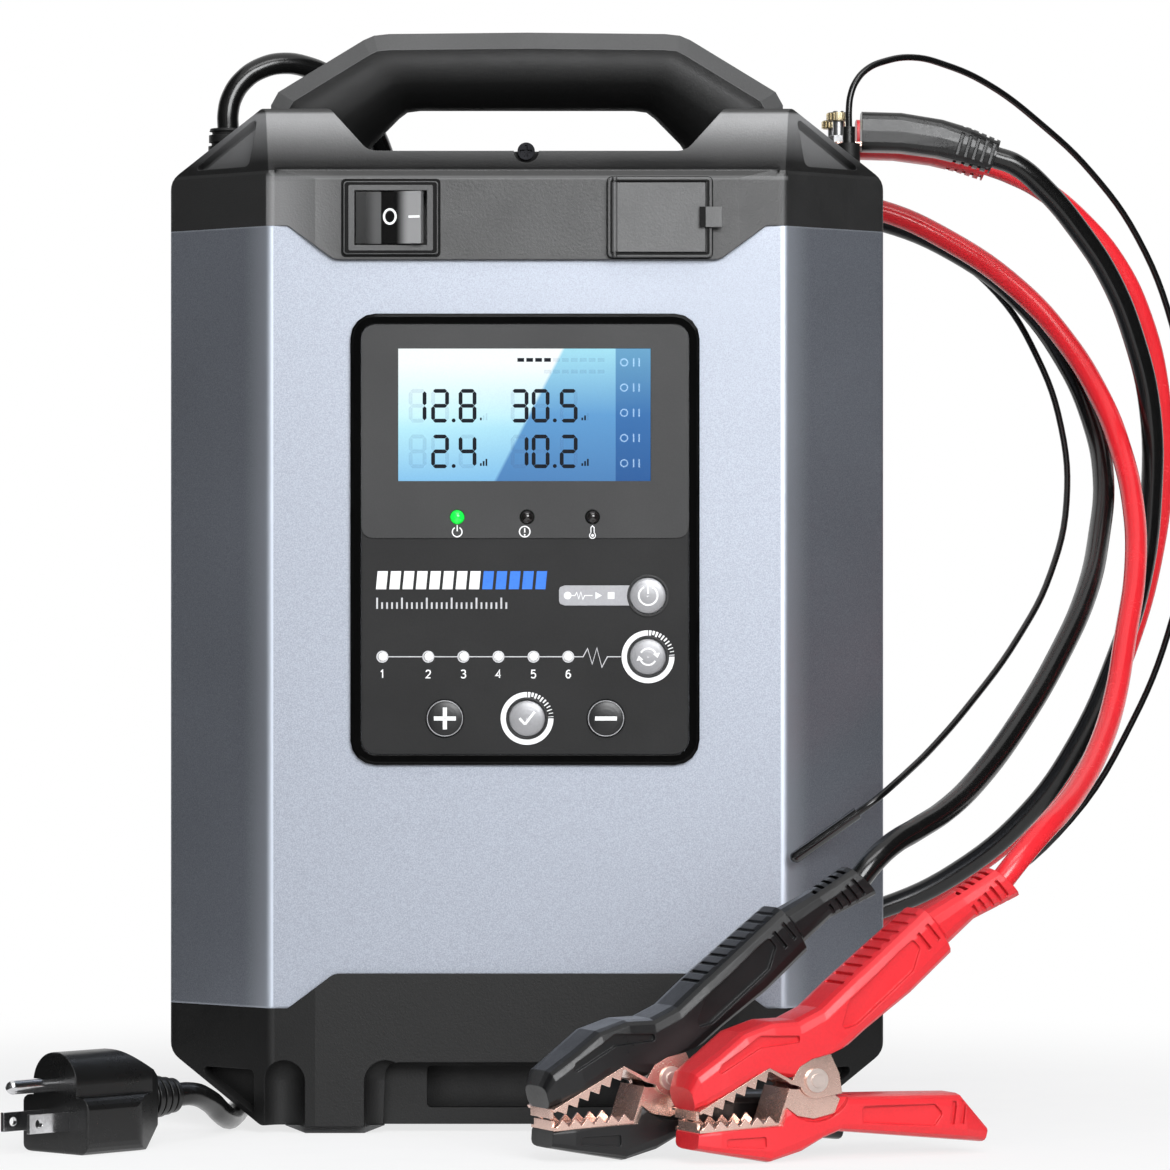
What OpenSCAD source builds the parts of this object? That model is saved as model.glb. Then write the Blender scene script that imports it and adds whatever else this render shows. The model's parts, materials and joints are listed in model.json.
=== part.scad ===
/* [Housing] */
// Width over the side faces
body_w = 248; // [240:1:256]
// Depth from the front face to the rear face
body_d = 165; // [158:1:176]
// Width of the flat front face between the corner chamfers
face_w = 177; // [172:1:181]
// Depth of the corner chamfers
chamfer_d = 32; // [28:1:36]
// Radius of the vertical housing edges
edge_r = 3; // [2.5:0.5:5]
// Height of the sleeve's lower edge
sleeve_z0 = 43; // [40:1:46]
// Height of the sleeve's upper edge
sleeve_z1 = 311; // [309:1:313]
// Wall thickness of the metal sleeve
sleeve_wall = 2; // [1.5:0.1:2.2]
// Wall thickness of the moulded caps
cap_wall = 3; // [2.4:0.1:3.4]
// Clearance between a spigot and the sleeve that it fits
spigot_gap = 0.15; // [0.1:0.05:0.3]
// Height of the spigots inside the sleeve
spigot_h = 7; // [5:1:9]
// How far the aprons stand before the front face
apron_out = 2.5; // [2:0.1:3]

/* [Top cap] */
// Height of the housing's shoulders
shoulder_z = 328.8; // [328:0.2:329.6]
// Height of the decks that carry the handle
deck_z = 352.2; // [350:0.2:354]
// Height of the rim before the finger well
rim_z = 337; // [336:0.5:338]
// Height of the finger well's floor
well_z = 330; // [329.5:0.5:331]
// Half width of the finger well
well_x = 66.5; // [65.5:0.5:67.5]
// How far the front lets itself back from shoulder to deck
lean = 11; // [8:0.5:13]
// Height of the apron's lower edge
top_apron_z = 299.3; // [298.6:0.1:299.8]
// Height of the rear corner ledges
ledge_z = 331; // [330:0.5:333]

/* [Base cap] */
// Height of the underside above the floor
cap_z0 = 2.7; // [2.4:0.1:3.2]
// Height of the lower shoulders
base_shoulder_z = 25.8; // [24:0.2:27]
// Height of the base apron's upper edge
base_apron_z = 55; // [54:0.5:57]
// Half spacing of the feet
foot_x = 65.9; // [64:0.5:68]
// Radius of the grooves beside each foot
groove_r = 7.4; // [6.5:0.1:7.8]

/* [Handle] */
// Width of the handle from front to back
handle_w = 32; // [28:1:36]
// Width of the bevel along the top of the handle
handle_bevel = 5; // [4:0.5:6]

/* [Control panel] */
// Outer width of the bezel
bezel_w = 119.5; // [118:0.5:122]
// Outer height of the bezel
bezel_h = 154.5; // [153:0.5:156]
// Height of the panel's centre
panel_z = 203.6; // [202:0.2:205]
// Width of the bezel's frame
bezel_t = 3.6; // [3.2:0.1:4]
// How far the bezel stands before the front face
bezel_out = 2.6; // [2.3:0.1:3]
// How far the fascia stands before the front face
fascia_out = 1.8; // [1.6:0.1:2]
// Thickness of the fascia's raised upper part
display_layer = 0.5; // [0.4:0.1:0.6]
// Width of the display window
lcd_w = 86.3; // [84:0.1:88]
// Height of the display window
lcd_h = 45.2; // [44:0.1:46]
// Radius of the start, mode and set buttons
button_r = 6.1; // [5.6:0.1:6.3]
// Radius of the plus and minus buttons
key_r = 6.3; // [5.8:0.1:6.5]
// Running clearance round a button
button_gap = 0.3; // [0.2:0.05:0.4]
// Travel of the buttons
button_travel = 0.8; // [0.6:0.1:1]
// Radius of the status lamps
led_r = 2.4; // [2.2:0.1:2.5]
// Radius of the mode lamps
mode_led_r = 1.5; // [1.4:0.1:1.6]

/* [Switch and cover] */
// Width of the switch's frame
switch_w = 32.2; // [31.5:0.1:33]
// Height of the switch's frame
switch_h = 24.9; // [24.5:0.1:25.5]
// Angle that the rocker turns from off to on
rocker_throw = 20; // [16:1:22]
// Width of the socket cover
flap_w = 31; // [30:0.1:31.5]
// Height of the socket cover
flap_h = 23.7; // [23:0.1:24.2]
// Thickness of the socket cover
flap_t = 1.8; // [1.6:0.1:2]

/* [Rear] */
// Reach of the cable hooks behind the rear face
hook_out = 32; // [31.5:0.1:33]
// Half spacing of the cable hooks
hook_x = 74; // [72:0.5:76]
// Radius of the fan opening
fan_r = 38; // [36:0.5:39]
// Height of the fan's centre
fan_z = 150; // [140:1:165]

/* [Leads and cords] */
// Diameter of the charging leads
lead_d = 8; // [7.6:0.1:8]
// Diameter of the mains cord
cord_d = 7.9; // [7.6:0.1:8]
// Diameter of the sensor's lead
sensor_d = 2.4; // [2:0.1:2.6]
// Turns of the coil in each of its two layers
coil_turns = 2; // [1:1:2]
// Radius of the coil's outer turn
coil_r = 48; // [47:0.5:49]

/* [Clamps] */
// Angle that the clamps are turned towards the front
clamp_yaw = 24; // [22:1:26]
// Height of the rivets above the floor
rivet_z = 26.5; // [26.5:0.5:28]
// Width of the jaw covers
jaw_w = 22; // [21.6:0.1:22.4]
// Radius of the rivets' shanks
rivet_r = 3; // [2.8:0.1:3.1]
// Teeth along each jaw
teeth = 6; // [5:1:6]
// Thickness of the jaws' sheet copper
jaw_t = 1; // [0.9:0.1:1.1]

/* [Hidden] */
$fn = 48;

// A hair's breadth that lets one cut run past another
eps = 0.01;
// How far the rocker's raised end may stand before the front face
front_out = 8;
front_y = -(body_d + hook_out - front_out) / 2;
rear_y = front_y + body_d;
mid_y = (front_y + rear_y) / 2;

// ---------------------------------------------------------------- helpers

function unit(v) = v / norm(v);

// Points of one corner b, between its neighbours a and c, rounded with radius r
function corner(a, b, c, r, n) =
    let (u = unit(a - b), v = unit(c - b))
    let (half = acos(u * v) / 2)
    let (centre = b + unit(u + v) * r / sin(half))
    let (p = b + u * r / tan(half) - centre, q = b + v * r / tan(half) - centre)
    let (a0 = atan2(p[1], p[0]), turn = atan2(q[1], q[0]) - a0)
    let (sweep = turn > 180 ? turn - 360 : turn < -180 ? turn + 360 : turn)
    r <= 0 ? [b] : [for (i = [0:n]) centre + r * [cos(a0 + sweep * i / n), sin(a0 + sweep * i / n)]];

// A polygon's points with its corners rounded: one radius, or one for each corner
function rounded(pts, r, n = 4) =
    let (m = len(pts))
    [for (i = [0:m - 1])
        each corner(pts[(i + m - 1) % m], pts[i], pts[(i + 1) % m], is_list(r) ? r[i] : r, n)];

// A right half's points, from bottom centre upwards, completed with its mirror image
function mirrored(half) =
    concat(half, [for (i = [len(half) - 1:-1:0]) [-half[i][0], half[i][1]]]);

function rect(w, h) = [[-w / 2, -h / 2], [w / 2, -h / 2], [w / 2, h / 2], [-w / 2, h / 2]];

// Extrudes an outline drawn in X and Z along Y
module along_y(y0, y1) translate([0, y1, 0]) rotate([90, 0, 0]) linear_extrude(y1 - y0) children();

// Extrudes an outline drawn in Y and Z along X
module along_x(x0, x1) translate([x0, 0, 0]) rotate([90, 0, 90]) linear_extrude(x1 - x0) children();

// A cylinder along Y, from y0 to y1
module rod_y(x, z, r, y0, y1) translate([x, y1, z]) rotate([90, 0, 0]) cylinder(r = r, h = y1 - y0);

// A box given by its low and high corners
module block(low, high) translate(low) cube(high - low);

module both_sides() {
    children();
    mirror([1, 0, 0]) children();
}

// Closes a row of rings, each with the same number of points, into one solid of triangles
module loft(rings) {
    n = len(rings[0]);
    m = len(rings);
    last = (m - 1) * n;
    polyhedron(
        points = [for (ring = rings) each ring],
        faces = concat(
            [for (i = [1:n - 2]) [0, i + 1, i]],
            [for (j = [0:m - 2], i = [0:n - 1]) each let (a = j * n + i, b = j * n + (i + 1) % n)
                [[a, b, b + n], [a, b + n, a + n]]],
            [for (i = [1:n - 2]) [last, last + i, last + i + 1]]));
}

// Directions of a route at each of its points
function headings(p) =
    [for (i = [0:len(p) - 1]) unit(p[min(i + 1, len(p) - 1)] - p[max(i - 1, 0)])];

// Normals carried along a route without twist
function normals(t, start) =
    [for (i = 0, n = unit(start - t[0] * (start * t[0])); i < len(t); i = i + 1,
        n = i < len(t) ? unit(n - t[i] * (n * t[i])) : n) n];

// A round tube along a route, with one ring at each of its points
module tube(route, d, sides, start = [0, 1, 0]) {
    t = headings(route);
    n = normals(t, start);
    loft([for (i = [0:len(route) - 1]) [for (k = [0:sides - 1])
        route[i] + d / 2 * (n[i] * cos(360 * k / sides) + cross(t[i], n[i]) * sin(360 * k / sides))]]);
}

// ---------------------------------------------------------------- housing

chamfer_x = (body_w - face_w) / 2;
chamfer_l = norm([chamfer_x, chamfer_d]);

// The eight-sided plan of the housing, moved outwards by g
function plan(g) =
    let (fx = face_w / 2 + g * (chamfer_d / chamfer_l
        + chamfer_x * (chamfer_x / chamfer_l - 1) / chamfer_d))
    let (fy = chamfer_d - g * chamfer_x / chamfer_l
        + g * chamfer_d * (1 - chamfer_d / chamfer_l) / chamfer_x)
    let (hx = body_w / 2 + g)
    [[-fx, front_y - g], [fx, front_y - g], [hx, front_y + fy], [hx, rear_y - fy],
        [fx, rear_y + g], [-fx, rear_y + g], [-hx, rear_y - fy], [-hx, front_y + fy]];

module plan_slab(g, z0, z1)
    translate([0, 0, z0]) linear_extrude(z1 - z0) polygon(rounded(plan(g), max(edge_r + g, 0.5)));

// A ring that fits inside the sleeve
module spigot(z0, z1) difference() {
    plan_slab(-sleeve_wall - spigot_gap, z0, z1);
    plan_slab(-sleeve_wall - spigot_gap - cap_wall + sleeve_wall / 2, z0 - 1, z1 + 1);
}

// The opening in the sleeve behind the control panel
window_w = bezel_w - 15;
window_h = bezel_h - 14;
vent_count = 9;
vent_pitch = 14;
vent_w = 5;
vent_z0 = 62;
vent_z1 = 92;

module metal_sleeve() color([0.74, 0.78, 0.84]) difference() {
    plan_slab(0, sleeve_z0, sleeve_z1);
    plan_slab(-sleeve_wall, sleeve_z0 - 1, sleeve_z1 + 1);
    block([-window_w / 2, front_y - 1, panel_z - window_h / 2],
        [window_w / 2, front_y + sleeve_wall + 1, panel_z + window_h / 2]);
    rod_y(0, fan_z, fan_r, rear_y - sleeve_wall - 1, rear_y + 1);
    switch_openings();
    grille_screws_at() rod_y(0, 0, screw_r + 0.1, rear_y - sleeve_wall - 1, rear_y + 1);
    both_sides() rod_y(hook_x, hook_screw_z, screw_r, rear_y - sleeve_wall - 1, rear_y + 1);
    for (i = [0:vent_count - 1])
        translate([(i - (vent_count - 1) / 2) * vent_pitch, 0, 0])
            along_y(rear_y - sleeve_wall - 1, rear_y + 1)
                polygon(rounded([[-vent_w / 2, vent_z0], [vent_w / 2, vent_z0],
                    [vent_w / 2, vent_z1], [-vent_w / 2, vent_z1]], vent_w / 2 - eps));
}

// Width over which an apron ramps from the face to its full height
ramp_x0 = face_w / 2 - 2;
ramp_x1 = face_w / 2 - 16;

// A raised apron before the front face, cut to an outline in X and Z and to a side profile
module apron(outline, side, z0, z1) intersection() {
    translate([0, 0, z0]) linear_extrude(z1 - z0)
        polygon([[-ramp_x0, front_y], [-ramp_x1, front_y - apron_out],
            [ramp_x1, front_y - apron_out], [ramp_x0, front_y]]);
    along_y(front_y - apron_out - 1, front_y + 1) polygon(outline);
    along_x(-body_w / 2, body_w / 2) polygon(side);
}

// Half widths of the aprons' edges
apron_x0 = 66;
apron_x1 = 82;
top_apron_outline = rounded(mirrored([[apron_x0, top_apron_z], [apron_x1, sleeve_z1],
    [face_w / 2, sleeve_z1], [face_w / 2, shoulder_z + 2]]), [6, 2, 0, 0, 0, 0, 2, 6]);
// Height of the bevel along the top apron's upper edge
apron_bevel = 3.4;
top_apron_side = [[front_y, top_apron_z], [front_y - apron_out, top_apron_z],
    [front_y - apron_out, shoulder_z - apron_bevel / 2], [front_y, shoulder_z + apron_bevel / 2]];

// Half widths of the decks and of the rim between them
rim_x = 54.5;
deck_x0 = well_x + 1.5;
deck_x1 = 91.4;
top_profile = rounded(mirrored([[body_w / 2, sleeve_z1], [body_w / 2, shoulder_z],
    [deck_x1, deck_z], [deck_x0, deck_z], [rim_x, rim_z]]),
    [0, 7, 3, 2.5, 6, 6, 2.5, 3, 7, 0]);
top_side = rounded([[front_y, sleeve_z1], [front_y, shoulder_z], [front_y + lean, deck_z],
    [rear_y - lean, deck_z], [rear_y, shoulder_z], [rear_y, sleeve_z1]], [0, 4, 3, 3, 4, 0]);

// Room for the switch behind the apron, seen from the front
switch_x = -46.6;
switch_z = 313.5;
switch_body = [28, 20.6];
// The cover's own place
flap_x = 45.4;
flap_z = 313.6;
flap_gap = 0.4;
usb_frame_w = flap_w + 4.6;
usb_frame_h = flap_h + 3.7;
usb_body = [26.6, 19];

rim_t = 8;
well_y0 = front_y + 12;
well_y1 = rear_y - 10;
notch_r = 4.3;
notch_x = -0.3;
notch_y = front_y + 7.5;
cap_roof_z = well_z - 4;
ledge_x = body_w / 2 - 28;
ledge_y = -22;
gland_x = 15 - body_w / 2;
gland_y = 36;
gland_hole_r = 6;

// Places a triangular pocket on a corner chamfer: u runs along the chamfer from the front edge
module on_chamfer() translate([face_w / 2, front_y, 0]) rotate([0, 0, atan2(chamfer_d, chamfer_x)])
    children();

pocket_depth = 4;
// Angle at which the chamfers let themselves back above the shoulders
chamfer_tilt = 17;

module on_lean() on_chamfer() translate([0, 0, shoulder_z]) rotate([-chamfer_tilt, 0, 0]) children();

// What lies before the leaning upper part of a chamfer
module chamfer_lean() on_lean() block([-20, -30, 0], [chamfer_l + 20, 0, 60]);

// A triangular pocket, by its corners along and up a chamfer
module pocket(corners) along_y(-1, pocket_depth) polygon(rounded(corners, [2, 1, 1.5]));

// The places that the switch and the sockets pass through the front
module switch_openings() {
    block([switch_x - switch_body[0] / 2, front_y - apron_out - 1, switch_z - switch_body[1] / 2],
        [switch_x + switch_body[0] / 2, front_y + cap_wall + sleeve_wall + 1,
            switch_z + switch_body[1] / 2]);
    block([flap_x - usb_body[0] / 2, front_y - apron_out - 1, flap_z - usb_body[1] / 2],
        [flap_x + usb_body[0] / 2, front_y + cap_wall + sleeve_wall + 1, flap_z + usb_body[1] / 2]);
}

module top_cap() color([0.3, 0.3, 0.3]) difference() {
    union() {
        intersection() {
            plan_slab(0, sleeve_z1, deck_z + 1);
            along_y(front_y - 1, rear_y + 1) polygon(top_profile);
            along_x(-body_w / 2 - 1, body_w / 2 + 1) polygon(top_side);
        }
        apron(top_apron_outline, top_apron_side, top_apron_z, shoulder_z + 3);
        spigot(sleeve_z1 - spigot_h, sleeve_z1 + eps);
    }
    plan_slab(-sleeve_wall - cap_wall, sleeve_z1 - spigot_h - 1, cap_roof_z);
    block([-well_x, well_y0, well_z], [well_x, well_y1, deck_z + 10]);
    both_sides() block([ledge_x, ledge_y, ledge_z], [body_w / 2 + 1, rear_y + 1, deck_z + 10]);
    both_sides() chamfer_lean();
    translate([0, 2 * mid_y, 0]) mirror([0, 1, 0]) both_sides() chamfer_lean();
    both_sides() on_lean() pocket([[10.5, 3.2], [38, 3.2], [11.5, 21.4]]);
    switch_openings();
    rod_y(notch_x, rim_z, notch_r, front_y - 1, notch_y);
    rod_y(notch_x, rim_z, screw_r, notch_y - 1, well_y0 - 1);
    translate([gland_x, gland_y, cap_roof_z - 1]) cylinder(r = gland_hole_r, h = ledge_z - cap_roof_z + 2);
}

base_profile = rounded(mirrored([[deck_x1, cap_z0], [body_w / 2, base_shoulder_z],
    [body_w / 2, sleeve_z0]]), [3, 7, 0, 0, 7, 3]);
base_apron_outline = rounded(mirrored([[face_w / 2, cap_z0], [face_w / 2, sleeve_z0],
    [apron_x1, sleeve_z0], [apron_x0, base_apron_z]]), [0, 0, 2, 6, 6, 2, 0, 0]);
base_apron_side = [[front_y, cap_z0], [front_y - apron_out, cap_z0],
    [front_y - apron_out, base_apron_z], [front_y, base_apron_z]];
base_side = rounded([[front_y, cap_z0], [rear_y, cap_z0], [rear_y, sleeve_z0], [front_y, sleeve_z0]],
    [2, 2, 0, 0]);

groove_top = 18;
recess_x = 49.5;
recess_z = 24.7;
recess_depth = 8;
inner_recess_x = 34.4;
inner_recess_z = [8.4, 22.8];
inner_recess_depth = 14;
base_floor = 5;
base_front_wall = 20;

// A round-topped groove that sets a foot column off from the wall beside it
module foot_groove(x) translate([x, front_y - apron_out + 0.5, 0]) {
    translate([0, 0, -1]) cylinder(r = groove_r, h = groove_top + 1);
    translate([0, 0, groove_top]) sphere(r = groove_r);
}

// Everything that is cut from the front of the base, and again from its rear
module base_front_cuts() {
    both_sides() foot_groove(foot_x + 10.1 + groove_r);
    both_sides() foot_groove(foot_x - 10.1 - groove_r);
    along_y(front_y - apron_out - 1, front_y + recess_depth)
        polygon(rounded(mirrored([[recess_x, 0], [recess_x - 1, recess_z]]), [0, 5, 5, 0]));
    along_y(front_y - apron_out - 1, front_y + inner_recess_depth)
        polygon(rounded([[-inner_recess_x, inner_recess_z[0]], [inner_recess_x, inner_recess_z[0]],
            [inner_recess_x, inner_recess_z[1]], [-inner_recess_x, inner_recess_z[1]]], 1.5));
}

foot_y = 14;
foot_l = 22;
foot_top_w = 34;
foot_w = 20.2;

module base_cap() color([0.16, 0.16, 0.16]) difference() {
    union() {
        intersection() {
            plan_slab(0, cap_z0, sleeve_z0);
            along_y(front_y - 1, rear_y + 1) polygon(base_profile);
            along_x(-body_w / 2 - 1, body_w / 2 + 1) polygon(base_side);
        }
        apron(base_apron_outline, base_apron_side, cap_z0, base_apron_z);
        spigot(sleeve_z0 - eps, sleeve_z0 + spigot_h);
    }
    intersection() {
        plan_slab(-sleeve_wall - cap_wall, cap_z0 + base_floor, sleeve_z0 + spigot_h + 1);
        block([-body_w / 2 + 36, front_y + base_front_wall, 0],
            [body_w / 2 - 36, rear_y - base_front_wall, sleeve_z0 + spigot_h + 1]);
    }
    plan_slab(-sleeve_wall - cap_wall, sleeve_z0 - 10, sleeve_z0 + spigot_h + 1);
    base_front_cuts();
    translate([0, 2 * mid_y, 0]) mirror([0, 1, 0]) base_front_cuts();
    both_sides() on_chamfer() pocket([[7, 21.6], [7, 6.4], [36, 21.6]]);
}

module foot(y) translate([foot_x, y, 0]) along_y(-foot_l / 2, foot_l / 2)
    polygon([[-foot_w / 2, 0], [foot_w / 2, 0], [foot_top_w / 2, cap_z0], [-foot_top_w / 2, cap_z0]]);

module rubber_feet() color([0.2, 0.2, 0.2]) both_sides() {
    foot(front_y + foot_y);
    foot(rear_y - foot_y);
}

// ---------------------------------------------------------------- handle

// Stations along the right half of the handle: outer edge, seam under the cover, inner edge
handle_line = [
    [[90.8, 326], [84.6, 326], [57, 326]],
    [[90.8, 358.5], [84.6, 356], [57, 341.5]],
    [[88.2, 363.2], [82.6, 359.4], [54.5, 345.5]],
    [[58, 381.6], [55.6, 375.9], [45.5, 354.6]],
    [[54.3, 383.2], [52.9, 377.2], [42.6, 356.8]],
    [[49, 383.8], [48.6, 377.6], [38, 357.4]],
    [[0, 384.3], [0, 378.1], [0, 357.4]]];

function flip(s) = [for (p = s) [-p[0], p[1]]];
handle_stations = concat(handle_line, [for (i = [len(handle_line) - 2:-1:0]) flip(handle_line[i])]);

function at(p, q, f) = p + (q - p) * f;
function lift(p, y) = [p[0], mid_y + y, p[1]];

// Share of the grip's side that stays upright before it rounds under
grip_flat = 0.3;
grip_steps = 10;

function grip_ring(s) = concat(
    [lift(s[1], -handle_w / 2)],
    [for (i = [0:grip_steps]) let (a = 180 * i / grip_steps)
        lift(at(s[1], s[2], grip_flat + (1 - grip_flat) * sin(a)), -handle_w / 2 * cos(a))],
    [lift(s[1], handle_w / 2)]);

function cover_ring(s) = [
    lift(s[1], -handle_w / 2), lift(s[1], handle_w / 2),
    lift(s[0], handle_w / 2 - handle_bevel), lift(s[0], -handle_w / 2 + handle_bevel)];

// The part of the cap that the handle stands on
module handle_seat() {
    block([-well_x - eps, mid_y - handle_w, well_z - 20], [well_x + eps, mid_y + handle_w, well_z]);
    both_sides() block([well_x, mid_y - handle_w, well_z - 20], [body_w / 2, mid_y + handle_w, deck_z]);
}

module handle_shell() color([0.24, 0.24, 0.24]) difference() {
    loft([for (s = handle_stations) grip_ring(s)]);
    handle_seat();
}

module handle_cover() color([0.42, 0.42, 0.42]) difference() {
    loft([for (s = handle_stations) cover_ring(s)]);
    handle_seat();
}

// ---------------------------------------------------------------- control panel

bezel_r = 8.5;
bezel_step = 0.8;
panel_x = -0.7;
fascia_w = bezel_w - 2 * bezel_t - 0.2;
fascia_h = bezel_h - 2 * bezel_t - 0.2;
fascia_r = bezel_r - bezel_t;
split_z = 204;
lcd_x = -0.9;
lcd_z = 246.2;
lens_t = 1.2;
board_back = 8;
board_y = front_y + board_back;
board_t = 1.6;

// Places of the buttons and lamps on the panel, in X and Z
right_x = panel_x + fascia_w / 2 - 14.05;
start_at = [right_x, 184.3];
mode_at = [right_x, 163.4];
set_at = [0, 142.3];
plus_at = [-28.1, 142.3];
minus_at = [27, 142.3];
power_led_at = [-23.9, 211.2];
status_leds_at = [[0, 211.2], [22.4, 211.2]];
function tenth(v) = round(v * 10) / 10;
mode_steps = [0, 0.14, 0.247, 0.3533, 0.46, 0.5665];
mode_leds_at = [for (f = mode_steps) [tenth(panel_x - fascia_w / 2 + 7.35 + f * fascia_w), mode_at[1]]];
led_gap = 0.15;

module panel_plate(w, h, r) translate([panel_x, panel_z]) polygon(rounded(rect(w, h), r));

module panel_bezel() color([0.05, 0.05, 0.06]) difference() {
    union() {
        along_y(front_y - bezel_out + bezel_step, front_y) panel_plate(bezel_w, bezel_h, bezel_r);
        along_y(front_y - bezel_out, front_y - bezel_out + bezel_step)
            panel_plate(bezel_w - 2 * bezel_step, bezel_h - 2 * bezel_step, bezel_r - bezel_step);
    }
    along_y(front_y - bezel_out - 1, front_y + 1)
        panel_plate(bezel_w - 2 * bezel_t, bezel_h - 2 * bezel_t, fascia_r);
}

module lamp_holes() {
    for (p = concat([power_led_at], status_leds_at))
        rod_y(p[0], p[1], led_r + led_gap, front_y - bezel_out - 1, front_y + 1);
    for (p = mode_leds_at)
        rod_y(p[0], p[1], mode_led_r + led_gap, front_y - bezel_out - 1, front_y + 1);
}

module button_holes() {
    for (p = [start_at, mode_at, set_at])
        rod_y(p[0], p[1], button_r + button_gap, front_y - bezel_out - 1, front_y + 1);
    for (p = [plus_at, minus_at])
        rod_y(p[0], p[1], key_r + button_gap, front_y - bezel_out - 1, front_y + 1);
}

module lcd_box(y0, y1, grow) block([lcd_x - lcd_w / 2 - grow, y0, lcd_z - lcd_h / 2 - grow],
    [lcd_x + lcd_w / 2 + grow, y1, lcd_z + lcd_h / 2 + grow]);

module panel_fascia() color([0.16, 0.16, 0.17]) difference() {
    along_y(front_y - fascia_out, front_y) panel_plate(fascia_w, fascia_h, fascia_r);
    lamp_holes();
    button_holes();
    lcd_box(front_y - bezel_out - 1, front_y + 1, 0.1);
}

module display_fascia() color([0.3, 0.3, 0.31]) difference() {
    along_y(front_y - fascia_out - display_layer, front_y - fascia_out)
        polygon(rounded([[panel_x - fascia_w / 2, split_z], [panel_x + fascia_w / 2, split_z],
            [panel_x + fascia_w / 2, panel_z + fascia_h / 2],
            [panel_x - fascia_w / 2, panel_z + fascia_h / 2]], [4, 4, fascia_r, fascia_r]));
    lamp_holes();
    lcd_box(front_y - bezel_out - 1, front_y + 1, 0.1);
}

module display_lens() color([0.7, 0.85, 0.95, 0.4])
    lcd_box(front_y - fascia_out - display_layer + 0.1,
        front_y - fascia_out - display_layer + 0.1 + lens_t, 0);

module display_module() color([0.45, 0.7, 0.9])
    lcd_box(front_y - fascia_out - display_layer + 0.1 + lens_t, board_y, 0);

// A lamp with a domed end, standing on the control board
module lamp(p, r) {
    rod_y(p[0], p[1], r, front_y - fascia_out, board_y);
    intersection() {
        translate([p[0], front_y - fascia_out, p[1]]) sphere(r = r);
        block([p[0] - r, front_y - fascia_out - 2 * r, p[1] - r],
            [p[0] + r, front_y - fascia_out, p[1] + r]);
    }
}

module power_led() color([0.1, 0.9, 0.3]) lamp(power_led_at, led_r);

module status_leds() color([0.2, 0.18, 0.18]) for (p = status_leds_at) lamp(p, led_r);

module mode_leds() color([0.95, 0.95, 0.9]) for (p = mode_leds_at) lamp(p, mode_led_r);

tact_h = 2.2;
stem_r = 2;
flange_t = 0.7;
flange_gap = 0.3;
stem_gap = 0.1;
stem_end = board_back - tact_h - button_travel - stem_gap;
cap_out = 1.6;
dome_rise = 0.9;

// A domed button with a flange behind the fascia and a stem towards its switch
module button(p, r) translate([p[0], front_y, p[1]]) rotate([-90, 0, 0]) rotate_extrude()
    polygon(concat(
        [for (a = [0:15:90]) [r * sin(a), -fascia_out - cap_out + dome_rise * (1 - cos(a))]],
        [[r, flange_gap], [r + 1.2, flange_gap], [r + 1.2, flange_gap + flange_t],
            [stem_r, flange_gap + flange_t], [stem_r, stem_end], [0, stem_end]]));

module start_button() color([0.75, 0.75, 0.75]) button(start_at, button_r);
module mode_button() color([0.75, 0.75, 0.75]) button(mode_at, button_r);
module set_button() color([0.75, 0.75, 0.75]) button(set_at, button_r);
module plus_button() color([0.08, 0.08, 0.08]) button(plus_at, key_r);
module minus_button() color([0.08, 0.08, 0.08]) button(minus_at, key_r);

module control_board() color([0.1, 0.35, 0.2]) {
    block([panel_x - window_w / 2 + 1, board_y, panel_z - window_h / 2 + 1],
        [panel_x + window_w / 2 - 1, board_y + board_t, panel_z + window_h / 2 - 1]);
    for (p = [start_at, mode_at, set_at, plus_at, minus_at])
        block([p[0] - 3, board_y - tact_h, p[1] - 3], [p[0] + 3, board_y + eps, p[1] + 3]);
    for (x = [-1, 1], z = [-1, 1])
        rod_y(panel_x + x * (window_w / 2 - 5), panel_z + z * (window_h / 2 - 5), 2.5,
            front_y + flange_gap, board_y + eps);
}

// ---------------------------------------------------------------- switch and cover

switch_face = front_y - apron_out;
switch_rim = 1.5;
rocker_w = 24;
rocker_h = 17.9;
rocker_gap = 0.4;
rocker_pivot_y = switch_face + 2;
rocker_rise = 2.1;
rocker_top = 3;
trunnion_r = 1.2;
trunnion_gap = 0.06;
trunnion_l = 0.9;

module switch_frame() color([0.12, 0.12, 0.12]) difference() {
    union() {
        along_y(switch_face - switch_rim, switch_face) translate([switch_x, switch_z])
            polygon(rounded(rect(switch_w, switch_h), 1));
        block([switch_x - switch_body[0] / 2 + 0.1, switch_face - eps, switch_z - switch_body[1] / 2 + 0.1],
            [switch_x + switch_body[0] / 2 - 0.1, switch_face + 20, switch_z + switch_body[1] / 2 - 0.1]);
    }
    block([switch_x - rocker_w / 2 - rocker_gap, switch_face - switch_rim - 1,
        switch_z - rocker_h / 2 - rocker_gap],
        [switch_x + rocker_w / 2 + rocker_gap, switch_face + 14, switch_z + rocker_h / 2 + rocker_gap]);
    translate([switch_x, rocker_pivot_y, switch_z - switch_body[1] / 2 - 1])
        cylinder(r = trunnion_r + trunnion_gap, h = switch_body[1] + 2);
}

// Half width of the rocker at its rear, and the place of the fold between its wings
rocker_tail = 5;
rocker_fold = -2.8;

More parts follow.
